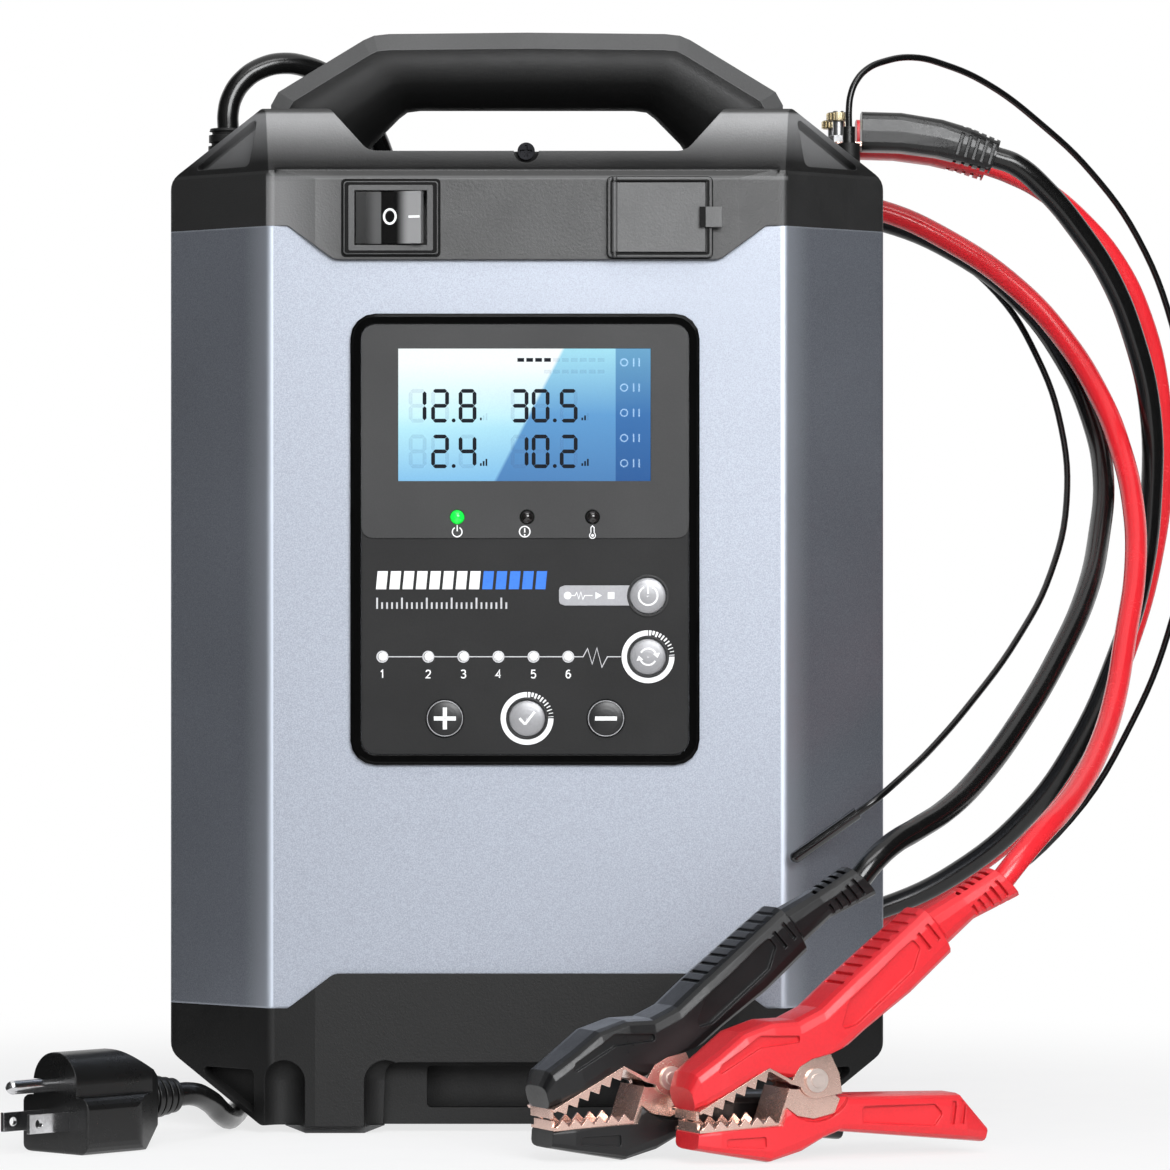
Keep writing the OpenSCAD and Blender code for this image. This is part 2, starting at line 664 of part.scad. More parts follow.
module switch_rocker() color([0.1, 0.1, 0.1]) translate([switch_x, rocker_pivot_y, switch_z])
    rotate([0, 0, -rocker_throw / 2]) {
        translate([0, 0, -rocker_h / 2]) linear_extrude(rocker_h)
            polygon([[-rocker_w / 2 + 0.6, -rocker_top - rocker_rise], [rocker_fold, -rocker_top],
                [rocker_w / 2 - 0.6, -rocker_top - rocker_rise], [rocker_w / 2 - 0.6, -rocker_top + 3],
                [rocker_tail, 3], [-rocker_tail, 3], [-rocker_w / 2 + 0.6, -rocker_top + 3]]);
        translate([0, 0, -rocker_h / 2 - trunnion_l])
            cylinder(r = trunnion_r, h = rocker_h + 2 * trunnion_l);
    }

usb_floor = 0.8;
usb_face = switch_face - usb_floor - flap_t;
hinge_r = 0.9;
hinge_x = flap_x - flap_w / 2;
hinge_y = usb_face;
knuckle_h = 1.4;
pin_r = 0.5;
pin_gap = 0.05;
usb_pocket = 7;
usb_wall = [3.2, 1.6];
tab_w = 7.7;
tab_h = 7;
tab_t = 1.5;
tab_gap = 0.1;

module usb_frame() color([0.2, 0.2, 0.2]) difference() {
    union() {
        along_y(usb_face, switch_face) translate([flap_x, flap_z])
            polygon(rounded(rect(usb_frame_w, usb_frame_h), 1.5));
        block([flap_x - usb_body[0] / 2 + 0.1, switch_face - eps, flap_z - usb_body[1] / 2 + 0.1],
            [flap_x + usb_body[0] / 2 - 0.1, switch_face + 12, flap_z + usb_body[1] / 2 - 0.1]);
        for (s = [-1, 1])
            translate([hinge_x, hinge_y, flap_z + s * (usb_frame_h - knuckle_h) / 2 - knuckle_h / 2])
                cylinder(r = hinge_r, h = knuckle_h);
    }
    block([flap_x - flap_w / 2 - flap_gap - hinge_r, usb_face - 2, flap_z - flap_h / 2 - flap_gap],
        [flap_x + flap_w / 2 + flap_gap, switch_face - usb_floor, flap_z + flap_h / 2 + flap_gap]);
    block([flap_x - usb_body[0] / 2 + usb_wall[0], switch_face - 1, flap_z - usb_body[1] / 2 + usb_wall[1]],
        [flap_x + usb_body[0] / 2 - usb_wall[0], switch_face + usb_pocket,
            flap_z + usb_body[1] / 2 - usb_wall[1]]);
    for (s = [-1, 1])
        block([flap_x - 7.2, switch_face, flap_z + s * 4 - 2.9],
            [flap_x + 7.2, switch_face + 13, flap_z + s * 4 + 2.9]);
    translate([hinge_x, hinge_y, flap_z - usb_frame_h]) cylinder(r = pin_r + pin_gap, h = 2 * usb_frame_h);
}

module usb_flap() color([0.45, 0.45, 0.45]) {
    block([hinge_x, usb_face, flap_z - flap_h / 2],
        [hinge_x + flap_w, usb_face + flap_t - tab_gap, flap_z + flap_h / 2]);
    block([hinge_x + flap_w - 2, usb_face - tab_t, flap_z - tab_h / 2],
        [hinge_x + flap_w - 2 + tab_w, usb_face - tab_gap, flap_z + tab_h / 2]);
    block([hinge_x + flap_w - 2, usb_face - tab_t, flap_z - tab_h / 2],
        [hinge_x + flap_w, usb_face + eps, flap_z + tab_h / 2]);
    translate([hinge_x, hinge_y, flap_z - flap_h / 2]) cylinder(r = hinge_r, h = flap_h);
    translate([hinge_x, hinge_y, flap_z - usb_frame_h / 2]) cylinder(r = pin_r, h = usb_frame_h);
}

// Two sockets with their tongues, behind the cover
module usb_sockets() color([0.7, 0.7, 0.72]) for (s = [-1, 1]) translate([flap_x, 0, flap_z + s * 4]) {
    difference() {
        block([-7, switch_face + usb_pocket - 2.5, -2.7], [7, switch_face + 14, 2.7]);
        block([-6.2, switch_face + usb_pocket - 3, -2.2], [6.2, switch_face + 12.5, 2.2]);
    }
    block([-5.5, switch_face + usb_pocket - 2, -1], [5.5, switch_face + 13, 0.8]);
}

// ---------------------------------------------------------------- rear

grille_r = fan_r + 5;
grille_t = 2.5;
grille_bar = 2;
grille_rings = 5;
grille_screw = 36;
screw_r = 1.6;

module grille_screws_at() for (x = [-1, 1], z = [-1, 1])
    translate([x * grille_screw, 0, fan_z + z * grille_screw]) children();

module fan_grille() color([0.08, 0.08, 0.08]) difference() {
    along_y(rear_y, rear_y + grille_t) translate([0, fan_z])
        polygon(rounded(rect(2 * grille_r, 2 * grille_r), 6));
    for (i = [1:grille_rings]) let (r1 = fan_r * i / grille_rings,
        r0 = fan_r * (i - 1) / grille_rings + grille_bar)
        for (a = [45:90:315]) translate([0, rear_y + grille_t / 2, fan_z]) rotate([0, a, 0])
            intersection() {
                rotate([90, 0, 0]) difference() {
                    cylinder(r = r1, h = grille_t + 2, center = true);
                    cylinder(r = r0, h = grille_t + 3, center = true);
                }
                block([grille_bar / 2, -grille_t, grille_bar / 2], [fan_r + 1, grille_t, fan_r + 1]);
            }
    grille_screws_at() rod_y(0, 0, screw_r + 0.2, rear_y - 1, rear_y + grille_t + 1);
}

fan_depth = 25;
fan_half = 40;
fan_bore = fan_r - 0.5;
hub_r = 16;
fan_pin_r = 2;
fan_gap = 0.05;
fan_front = rear_y - sleeve_wall - fan_depth;

module fan_frame() color([0.1, 0.1, 0.1]) {
    difference() {
        along_y(fan_front, rear_y - sleeve_wall) translate([0, fan_z])
            polygon(rounded(rect(2 * fan_half, 2 * fan_half), 5));
        rod_y(0, fan_z, fan_bore, fan_front - 1, rear_y);
        grille_screws_at() rod_y(0, 0, screw_r, rear_y - sleeve_wall - 12, rear_y);
    }
    for (a = [0:90:270]) translate([0, 0, fan_z]) rotate([0, a, 0])
        block([hub_r - 2, fan_front, -2], [fan_bore + 0.5, fan_front + 3, 2]);
    difference() {
        rod_y(0, fan_z, hub_r, fan_front, fan_front + 3);
        rod_y(0, fan_z, fan_pin_r + fan_gap, fan_front - 1, fan_front + 4);
    }
}

fan_blades = 7;
blade_r = fan_bore - 1.5;

module fan_rotor() color([0.14, 0.14, 0.14]) {
    rod_y(0, fan_z, hub_r - 1, fan_front + 3.5, rear_y - sleeve_wall - 2);
    rod_y(0, fan_z, fan_pin_r, fan_front, fan_front + 4);
    for (i = [0:fan_blades - 1]) translate([0, fan_front + 13, fan_z]) rotate([0, i * 360 / fan_blades, 0])
        rotate([0, 0, 35]) block([-9, -0.8, hub_r - 3], [9, 0.8, blade_r - 2]);
}

hook_plate_z0 = 256;
hook_screw_z = 264;
hook_plate_z1 = 306;
hook_plate_t = 4;
hook_saddle = 324.2;
hook_lip = 336;
hook_w = 14;

module cable_hooks() color([0.16, 0.16, 0.16]) both_sides() difference() {
    union() {
    along_y(rear_y, rear_y + hook_plate_t) polygon(rounded([[hook_x - 10, hook_plate_z0],
        [hook_x + 10, hook_plate_z0], [hook_x + 10, hook_plate_z1], [hook_x - 10, hook_plate_z1]], 4));
    along_x(hook_x - hook_w / 2, hook_x + hook_w / 2)
        polygon(rounded([[rear_y + 1, hook_plate_z0 + 16], [rear_y + hook_plate_t + 4, hook_plate_z0 + 20],
            [rear_y + hook_out - 3, hook_saddle - 12], [rear_y + hook_out, hook_saddle - 6],
            [rear_y + hook_out, hook_lip], [rear_y + hook_out - 4, hook_lip],
            [rear_y + hook_out - 4.5, hook_saddle], [rear_y + 3, hook_saddle],
            [rear_y + 1, hook_plate_z1]], [0, 4, 6, 3, 1.5, 1.5, 1, 4, 0]));
    }
    rod_y(hook_x, hook_screw_z, screw_r, rear_y - 1, rear_y + hook_plate_t + 1);
}

// ---------------------------------------------------------------- inner pieces

inner_floor = cap_z0 + base_floor;

// Main board: half width, front and rear edges, height and thickness
main_w = body_w / 2 - 54;
main_y0 = front_y + 44.5;
main_y1 = rear_y - 30.5;
main_d = main_y1 - main_y0;
main_z = 60;
main_t = 1.6;
main_top = main_z + main_t;
stand_r = 3;
stand_in = 10;

// Transformer: half widths and heights of its foot, core and winding
trafo_half = main_d / 5 - 2;
trafo_y = main_y0 + trafo_half + 1;
trafo_foot = [28, trafo_half - 3, 4.4];
trafo_core = [24, trafo_half - 4, 42.4];
trafo_coil = [15, trafo_half, 38.4];

// Heat sink: half width, place and fins
sink_w = main_w - 4;
sink_t = 4;
sink_gap = 3;
sink_y = trafo_y + trafo_half + sink_gap;
sink_top = main_top + 50;
sink_fins = 11;
fin_t = 2.5;
fin_l = 12;

// Capacitors, relay and choke on the main board
board_edge = 6;
rear_row = sink_y + sink_t + fin_l + 2;
capacitor_r = 9;
capacitor_h = 30;
capacitor_pitch = 22;
relay_size = [14, main_d / 5 + board_edge, 14.5];
choke_size = [14, main_y1 - board_edge - rear_row, 18.5];

module main_board() color([0.1, 0.4, 0.25]) {
    block([-main_w, main_y0, main_z], [main_w, main_y1, main_top]);
    for (x = [stand_in - main_w, main_w - stand_in], y = [main_y0 + stand_in, main_y1 - stand_in])
        translate([x, y, inner_floor]) cylinder(r = stand_r, h = main_z - inner_floor + eps);
    for (i = [-1:1]) translate([i * capacitor_pitch - stand_in, rear_row + 16, main_top - eps])
        cylinder(r = capacitor_r, h = capacitor_h);
    translate([board_edge - main_w, main_y0 + board_edge, main_top - eps]) cube(relay_size);
    translate([main_w - choke_size[0] - board_edge, rear_row, main_top - eps]) cube(choke_size);
}

module heatsink() color([0.7, 0.7, 0.72]) {
    block([-sink_w, sink_y, main_top], [sink_w, sink_y + sink_t, sink_top]);
    for (i = [0:sink_fins - 1]) let (x = -sink_w + i * (2 * sink_w - fin_t) / (sink_fins - 1))
        block([x, sink_y + sink_t - eps, main_top + 2.4], [x + fin_t, sink_y + sink_t + fin_l, sink_top]);
}

module transformer() color([0.3, 0.25, 0.15]) translate([0, trafo_y, main_top]) {
    block([-trafo_foot[0], -trafo_foot[1], 0], [trafo_foot[0], trafo_foot[1], trafo_foot[2]]);
    block([-trafo_core[0], -trafo_core[1], trafo_foot[2] - eps],
        [trafo_core[0], trafo_core[1], trafo_core[2]]);
    block([-trafo_coil[0], -trafo_coil[1], 2 * trafo_foot[2]],
        [trafo_coil[0], trafo_coil[1], trafo_coil[2]]);
}

// ---------------------------------------------------------------- output terminals

term_x = body_w / 2 - 12;
black_y = 6;
red_y = 40;
sensor_x = body_w / 2 - 9.1;
sensor_y = -10;
tower_z = 346;
lug_t = 1.6;
nut_z = 355.3;
nut_h = 3;
nut_r = 4.2;
post_r = 2;
boot_x0 = body_w / 2 - 3.8;

module terminal_block() color([0.1, 0.1, 0.1]) difference() {
    union() {
        intersection() {
            plan_slab(-3, ledge_z, ledge_z + 5);
            block([ledge_x + 4, sensor_y - 6, ledge_z], [body_w / 2, red_y + 8, ledge_z + 5]);
        }
        for (y = [black_y, red_y]) translate([term_x, y, ledge_z + 5 - eps])
            cylinder(r = 6.5, h = tower_z - ledge_z - 5);
        translate([sensor_x, sensor_y, ledge_z + 5 - eps]) cylinder(r = 4, h = tower_z - ledge_z - 5);
    }
    for (y = [black_y, red_y]) translate([term_x, y, ledge_z - 1]) cylinder(r = post_r + 0.05, h = 30);
    translate([sensor_x, sensor_y, tower_z - 8]) cylinder(r = 1.8, h = 10);
}

module terminal_posts() color([0.8, 0.8, 0.8]) for (y = [black_y, red_y]) translate([term_x, y, 0]) {
    translate([0, 0, ledge_z]) cylinder(r = post_r, h = nut_z + nut_h + 0.6 - ledge_z);
    translate([0, 0, tower_z + lug_t]) difference() {
        cylinder(r = 3.6, h = 2.4, $fn = 6);
        translate([0, 0, -1]) cylinder(r = post_r - 0.2, h = 5);
    }
}

module terminal_nuts() color([0.75, 0.6, 0.3]) for (y = [black_y, red_y]) translate([term_x, y, nut_z])
    difference() {
    union() {
        cylinder(r = nut_r - 0.3, h = nut_h);
        for (i = [0:17]) rotate([0, 0, i * 20]) translate([nut_r - 0.5, -0.35, 0.3])
            cube([0.6, 0.7, nut_h - 0.6]);
    }
    translate([0, 0, -1]) cylinder(r = post_r + 0.03, h = nut_h + 2);
}

module lead_lugs() color([0.8, 0.7, 0.6]) for (y = [black_y, red_y]) translate([term_x, y, tower_z])
    difference() {
    union() {
        cylinder(r = 5, h = lug_t);
        block([0, -4, 0], [boot_x0 - term_x + 6, 4, lug_t]);
    }
    translate([0, 0, -1]) cylinder(r = post_r + 0.1, h = lug_t + 2);
}

// Stations along a boot: distance along X, height of its axis, half height, half width, squareness
boot_line = [[0, 351.4, 7.1, 7.2, 0.42], [14, 351, 7.1, 7.2, 0.42], [28, 348.9, 6.9, 7, 0.5],
    [38, 346.2, 6.7, 6.7, 0.7],
    [48, 342.4, 6.3, 6.3, 1]];
boot_tilt = [0, 2, 9, 15, 20];
boot_sides = 24;

function squircle(a, k) = let (c = cos(a), s = sin(a)) [sign(c) * pow(abs(c), k), sign(s) * pow(abs(s), k)];

function boot_ring(i, y) = let (b = boot_line[i], t = boot_tilt[i])
    [for (k = [0:boot_sides - 1]) let (q = squircle(360 * k / boot_sides, b[4]))
        [boot_x0 + b[0] + b[2] * q[1] * sin(t), y + b[3] * q[0], b[1] + b[2] * q[1] * cos(t)]];

slot_count = 5;

// A moulded boot over a lug, with flexing slots round its end
module boot(y) difference() {
    loft([for (i = [len(boot_line) - 1:-1:0]) boot_ring(i, y)]);
    block([boot_x0 - 1, y - 4.1, tower_z - 0.1], [boot_x0 + 6.2, y + 4.1, tower_z + lug_t + 0.1]);
    translate([boot_x0 + 41, y, 345.1]) rotate([0, 17, 0]) for (i = [0:slot_count - 1])
        translate([(i - 2) * 3, 0, 0]) for (s = [-1, 1]) {
            block([-0.6, -4, s > 0 ? 5 : -8], [0.6, 4, s > 0 ? 8 : -5]);
            block([-0.6, s > 0 ? 5 : -8, -4], [0.6, s > 0 ? 8 : -5, 4]);
        }
}

module black_boot() color([0.2, 0.2, 0.2]) boot(black_y);
module red_boot() color([0.85, 0.1, 0.12]) boot(red_y);

module sensor_plug() color([0.05, 0.05, 0.05]) translate([sensor_x, sensor_y, 0]) {
    translate([0, 0, tower_z]) cylinder(r = 2.2, h = 6);
    translate([0, 0, tower_z - 7]) cylinder(r = 1.75, h = 8);
}

// ---------------------------------------------------------------- cords and leads

gland_top = 355;
gland_r = 7.4;

// A ribbed strain relief, tapering from its flange to the cord
module mains_gland() color([0.1, 0.1, 0.1]) translate([gland_x, gland_y, 0]) rotate_extrude()
    polygon(concat(
        [[0, ledge_z - 4], [gland_hole_r - 0.1, ledge_z - 4], [gland_hole_r - 0.1, ledge_z],
            [gland_r + 1.6, ledge_z],
            [gland_r + 1.6, ledge_z + 3]],
        [for (i = [0:4]) each let (z = ledge_z + 3 + i * 4, r = gland_r + 0.6 - i * 0.25)
            [[r, z], [r, z + 2.6], [r - 1.2, z + 2.8], [r - 1.2, z + 3.8]]],
        [[gland_r - 0.6, gland_top - 1], [gland_r - 0.9, gland_top], [0, gland_top]]));

mains_route = [[gland_x, gland_y, gland_top], [gland_x, gland_y, gland_top + 6], [-107.5, 36.5, 367],
    [-103.5, 37.5, 373],
    [-97, 39, 377.5], [-89, 41.5, 379.5], [-80.5, 45, 378.5], [-72, 50, 375], [-64, 56, 368],
    [-57.5, 62.5, 358], [-52.5, 69, 346], [-49, 75, 331], [-48, 79.5, 314], [-52, 82, 290], [-61, 84, 256],
    [-72, 85, 216], [-83, 86, 170], [-91, 87, 122], [-94, 88, 84], [-92.5, 88, 56], [-88, 88, 38],
    [-79.5, 88, 24], [-68.5, 88, 15.5], [-57, 88, 12.5], [-48, 88, 12.5]];

coil_x = -40;
coil_y = coil_r + 88;
coil_step = 8.5;
coil_rings = 24;
coil_low = 4;
coil_high = 12.5;
coil_start = -90;
coil_entry = 8;

// Radius and height of the coil at turn t: inwards on the upper layer, outwards on the lower one
function coil_radius(t) = coil_r - coil_step * (t <= coil_turns ? t : 2 * coil_turns - t);
function coil_height(t) = t < coil_turns - 0.25 ? coil_high : t > coil_turns + 0.25 ? coil_low
    : at(coil_high, coil_low, (t - coil_turns + 0.25) * 2);
function coil_point(t) = [coil_x + coil_radius(t) * cos(coil_start + 360 * t),
    coil_y + coil_radius(t) * sin(coil_start + 360 * t), coil_height(t)];
// The cord leaves the coil a quarter turn early, towards the front
coil_end = 2 * coil_turns - 0.25;
coil_steps = coil_end * coil_rings;
coil_path = concat(
    [coil_point(0) - [coil_entry, 0, 0]],
    [for (i = [0:coil_steps]) coil_point(i / coil_rings)],
    [coil_point(coil_end) - [0, coil_entry, 0]]);

plug_yaw = 43;
plug_z = 16;
plug_neck = [-119, -128, plug_z];
plug_dir = [-sin(plug_yaw), -cos(plug_yaw), 0];
tail_end = coil_point(coil_end) - [0, coil_entry, 0];
tail_route = concat(
    [tail_end, tail_end - [0, cord_d, 0]],
    [[-89, 108, 4], [-94, 92, 4], [-99, 72, 4], [-101.5, 48, 4], [-101.5, 20, 4], [-101.5, -10, 4],
        [-101.5, -40, 4], [-102, -64, 4], [-103, -83, 4.6], [-105, -98, 8], [-108, -109, 12.4]],
    [plug_neck - cord_d * plug_dir, plug_neck]);

module mains_cord() color([0.08, 0.08, 0.08]) tube(mains_route, cord_d, 10);
module mains_coil() color([0.08, 0.08, 0.08]) tube(coil_path, cord_d, 6, [0, 0, 1]);
module mains_tail() color([0.08, 0.08, 0.08]) tube(tail_route, cord_d, 10, [0, 0, 1]);

// Places the plug: X runs from the neck to the face
module at_plug() translate([plug_neck[0], plug_neck[1], 0]) rotate([0, 0, 270 - plug_yaw]) children();

neck_l = 14;
plug_l = 40;
plug_face = neck_l + plug_l;
plug_w = 32;
plug_h = 19;
dome_z = 22.9;
dome_r = 10.5;
blade_z = 11;
blade_gap = 12.7;
blade_size = [17.5, 1.5, 6.35];
ground_r = 2.4;
ground_l = 21;
ground_root_r = 2;
pin_root = 4;

module plug_body() color([0.1, 0.1, 0.1]) at_plug() difference() {
    union() {
        intersection() {
            along_x(neck_l, plug_face) union() {
                polygon(rounded([[-plug_w / 2, 0], [plug_w / 2, 0], [plug_w / 2, plug_h],
                    [-plug_w / 2, plug_h]], 4));
                translate([0, dome_z]) circle(r = dome_r);
                polygon([[-dome_r, plug_h - 6], [dome_r, plug_h - 6], [dome_r, dome_z], [-dome_r, dome_z]]);
            }
            along_y(-plug_w, plug_w) polygon(rounded([[neck_l, 8], [neck_l + 12, 0], [plug_face, 0],
                [plug_face, dome_z + dome_r], [neck_l + 15, dome_z + dome_r], [neck_l, plug_z + 7]],
                    [2, 6, 1, 1, 8, 2]));
            translate([0, 0, -1]) linear_extrude(dome_z + dome_r + 2)
                polygon(rounded([[neck_l, -7.5], [neck_l + 16, -plug_w / 2], [plug_face, -plug_w / 2],
                    [plug_face, plug_w / 2], [neck_l + 16, plug_w / 2], [neck_l, 7.5]],
                        [2, 8, 1, 1, 8, 2]));
        }
        translate([0, 0, plug_z]) rotate([0, 90, 0]) rotate_extrude()
            polygon(concat([[0, 0], [5, 0]],
                [for (i = [0:3]) each let (x = 0.8 + i * 3.3, r = 5.9 + i * 0.55)
                    [[r, x], [r, x + 1.9], [r - 1, x + 2.1], [r - 1, x + 3.2]]],
                [[6, neck_l + 1], [0, neck_l + 1]]));
    }
    plug_pin_shapes(-pin_root);
}

// The blades and the earth pin, from a depth inside the face
module plug_pin_shapes(from) {
    for (s = [-1, 1])
        block([plug_face + from, s * blade_gap / 2 - blade_size[1] / 2, blade_z - blade_size[2] / 2],
            [plug_face + blade_size[0], s * blade_gap / 2 + blade_size[1] / 2,
                blade_z + blade_size[2] / 2]);
    translate([plug_face, 0, dome_z]) rotate([0, 90, 0]) {
        translate([0, 0, from]) cylinder(r = ground_root_r, h = eps - from);
        cylinder(r = ground_r, h = ground_l - ground_r);
        translate([0, 0, ground_l - ground_r]) sphere(r = ground_r);
    }
}

module plug_pins() color([0.85, 0.85, 0.85]) at_plug() difference() {
    plug_pin_shapes(-pin_root);
    for (s = [-1, 1]) translate([plug_face + blade_size[0] - 4, s * blade_gap / 2 - 2, blade_z])
        rotate([-90, 0, 0]) cylinder(r = 1.5, h = 4);
}

// ---------------------------------------------------------------- clamps

red_pivot = [89.6, -187.5, rivet_z];
black_pivot = [42.7, -179.5, rivet_z];

module at_clamp(pivot) translate(pivot) rotate([0, 0, clamp_yaw]) children();

// Where a clamp's lead comes out, along and above the pivot, and its heading
clamp_exit = [73.95, 62.6];
exit_angle = 48.3;
function clamp_side(l, v) = [l * cos(clamp_yaw), l * sin(clamp_yaw), v];
exit_dir = clamp_side(cos(exit_angle), sin(exit_angle));
function lead_end(pivot) = let (e = pivot + clamp_side(clamp_exit[0], clamp_exit[1]))
    [e + lead_d * exit_dir, e];

boot_out = [cos(boot_tilt[4]), 0, -sin(boot_tilt[4])];
function lead_start(y) = let (b = [boot_x0 + boot_line[4][0], y, boot_line[4][1]]) [b,
    b + lead_d * boot_out];

black_route = concat(lead_start(black_y), [
    [187, 9, 330.5], [199, 14, 317], [211, 21, 300], [220.5, 29, 279], [227.5, 38, 253], [229, 47, 222],
    [226, 56, 190], [218, 63, 162], [204, 69, 130], [186, 74, 104], [160, 78, 82], [133, 79, 69],
    [108, 79, 63], [86, 79, 62], [62, 79, 67], [41, 79, 76], [22, 79, 88], [6, 79, 103], [-8, 79, 121],
    [-18, 80, 142], [-24, 83, 164], [-26.5, 86, 186], [-25.5, 88.5, 209], [-22, 89, 231], [-15, 89, 251],
    [-4, 89, 271], [11, 89, 289], [28, 89, 305], [46, 89, 318.5], [61, 89, 326.5], [74, 89, 328.9],
    [88, 89, 329.4], [104, 89, 329.5], [133, 89.5, 325], [160, 88, 313.5], [183.5, 83, 295.5],
    [200, 73, 272], [208.5, 58, 249], [210.5, 38, 228], [206.5, 14, 206], [199, -15, 185],
    [186.5, -43, 163], [171, -71, 141], [154.5, -97, 122], [141.5, -118, 111.5], [130.5, -132.5, 105.5],
    [121.8, -142, 100.9]], lead_end(black_pivot));

red_route = concat(lead_start(red_y), [
    [187.5, 42, 334], [203, 46, 322], [216.5, 51, 306.5], [226.5, 57, 287], [233.5, 65, 262],
    [236, 73, 232], [233.5, 80, 203], [225.5, 85, 170], [212, 88, 138], [192, 89, 106], [163, 89, 81],
    [134, 89, 65], [110, 89, 59], [86, 89, 59], [62, 89, 64], [38, 89, 73], [16, 89, 85], [-3, 89, 101],
    [-18, 89, 119], [-31, 89, 141], [-39.5, 87.5, 163], [-43.5, 84.5, 186], [-43, 81, 210],
    [-38, 79.2, 234], [-29, 79, 257], [-16, 79, 279], [0, 79, 295], [20, 79, 309], [42, 79, 321],
    [60, 79, 327.6], [74, 79, 328.9], [88, 79, 330.5], [104, 79, 332], [131, 79.5, 328.5],
    [157.5, 77, 316.5], [182, 70, 298.5], [198.5, 60, 279], [210, 47, 258], [216, 30, 238],
    [218.5, 9, 216], [216.5, -15, 193], [210.5, -40, 170], [204, -66, 148], [196.5, -90, 132.5],
    [187.5, -114, 120], [178.4, -134.5, 111], [172.7, -144.5, 106.2], [167.3, -151, 101]],
        lead_end(red_pivot));

probe_p = [113, -97.5, 110];
probe_q = [92, -97.5, 95];
probe_r = 2.1;
probe_lead = 6;
sensor_top = tower_z + 6;
sensor_route = concat([
    [sensor_x, sensor_y, sensor_top], [sensor_x, sensor_y, sensor_top + 6],
    [115.6, -9.6, 363.5], [117.6, -8.6, 368.4], [121.5, -6.6, 372.8], [128, -3, 376], [138.5, 3, 378],
    [151, 11, 376], [167, 21, 370], [187, 34, 357], [207, 47, 340], [225, 58, 317], [239, 68, 285],
    [247, 77, 246], [248, 85, 206], [240, 91, 171], [227, 94, 138], [204, 96, 101], [172, 97, 74],
    [135, 97, 60], [110, 96.5, 56], [86, 96.5, 56], [61, 96.5, 61], [36, 96.5, 70], [14, 96.5, 83],
    [-5, 96.5, 99], [-20, 96.5, 117], [-31, 96.5, 138], [-39, 96.5, 161], [-42, 96.5, 186],
    [-41, 96.5, 212], [-37, 96.5, 237], [-29, 96.5, 259], [-17, 96.5, 280], [-1, 96.5, 296],
    [18, 96.5, 309], [40, 96.5, 319], [58, 96.5, 324.6], [74, 96.5, 325.8], [88, 96.5, 326.4],
    [104, 96.5, 327.5], [133, 97, 324.5], [156, 96.5, 314.5], [176, 91.5, 298], [190, 81, 274],
    [197.5, 64, 247], [197.5, 43, 219], [189.5, 18, 193], [175, -12, 169.5], [155.5, -44, 146.5],
    [139.5, -68, 130.5], [131.5, -81, 123.9], [125.5, -90.5, 119.3], [121.2, -95.6, 116]],
    [probe_p - probe_lead * unit(probe_q - probe_p), probe_p]);

module black_lead() color([0.06, 0.06, 0.06]) tube(black_route, lead_d, 8);
module red_lead() color([0.85, 0.1, 0.12]) tube(red_route, lead_d, 8);
module sensor_lead() color([0.06, 0.06, 0.06]) tube(sensor_route, sensor_d, 8);

module sensor_probe() color([0.5, 0.5, 0.5]) let (d = probe_q - probe_p, a = atan2(-d[2], d[0]))
    translate(probe_p) rotate([0, a, 0]) rotate([0, 90, 0]) {
        cylinder(r = probe_r, h = norm(d));
        translate([0, 0, norm(d)]) sphere(r = probe_r);
    }

// Stations along a clamp's arm: upper point, lower point, half width, squareness
arm_line = [
    [[-44.2, -1.5], [-42.2, -9.2], 8.6, 0.6],
    [[-42.4, 3.4], [-38, -8], 10.2, 0.5],
    [[-33.9, 9.4], [-30, -4], 11, 0.42],
    [[-25.3, 16], [-21, 1], 11, 0.38],
    [[-15.1, 19.3], [-13, 1], 11, 0.38],
    [[-5.7, 19.6], [-5, 0], 11, 0.38],
    [[2.7, 23.4], [7, 6], 11, 0.38],
    [[12.4, 31.6], [19, 15.4], 11, 0.38],
    [[26, 42.6], [36, 27], 10.6, 0.42],
    [[41.2, 54.8], [51.6, 39.6], 9.8, 0.5],
    [[43.4, 53.6], [52, 42.2], 7.6, 0.8],
    [[55.2, 59.4], [62.2, 50.4], 6.8, 0.9],
    [[68.8, 67.4], [79.1, 57.8], 6.9, 0.8]];

// Stations along a clamp's lever
lever_line = [
    [[-41.2, -15], [-41.6, -21.8], 8.6, 0.5],
    [[-34, -14], [-34, -23.2], 10.4, 0.42],
    [[-15, -10], [-15.7, -26.5], 11, 0.38],
    [[-5.5, -4.4], [-4.5, -23.6], 11, 0.38],
    [[2, -6], [3.4, -19.4], 11, 0.38],
    [[10.1, -5.5], [9.3, -17.2], 11, 0.38],
    [[34, -5.8], [36, -19.9], 10.6, 0.42],
    [[54.3, -6.2], [57, -22], 10, 0.45],
    [[65.4, -17.4], [64, -22.8], 7.4, 0.6]];

clamp_sides = 16;
function clamp_ring(s) = let (c = (s[0] + s[1]) / 2, u = (s[0] - s[1]) / 2)
    [for (k = [0:clamp_sides - 1]) let (q = squircle(360 * (k + 0.5) / clamp_sides, s[3]))
        [c[0] + u[0] * q[1], -s[2] * q[0], c[1] + u[1] * q[1]]];

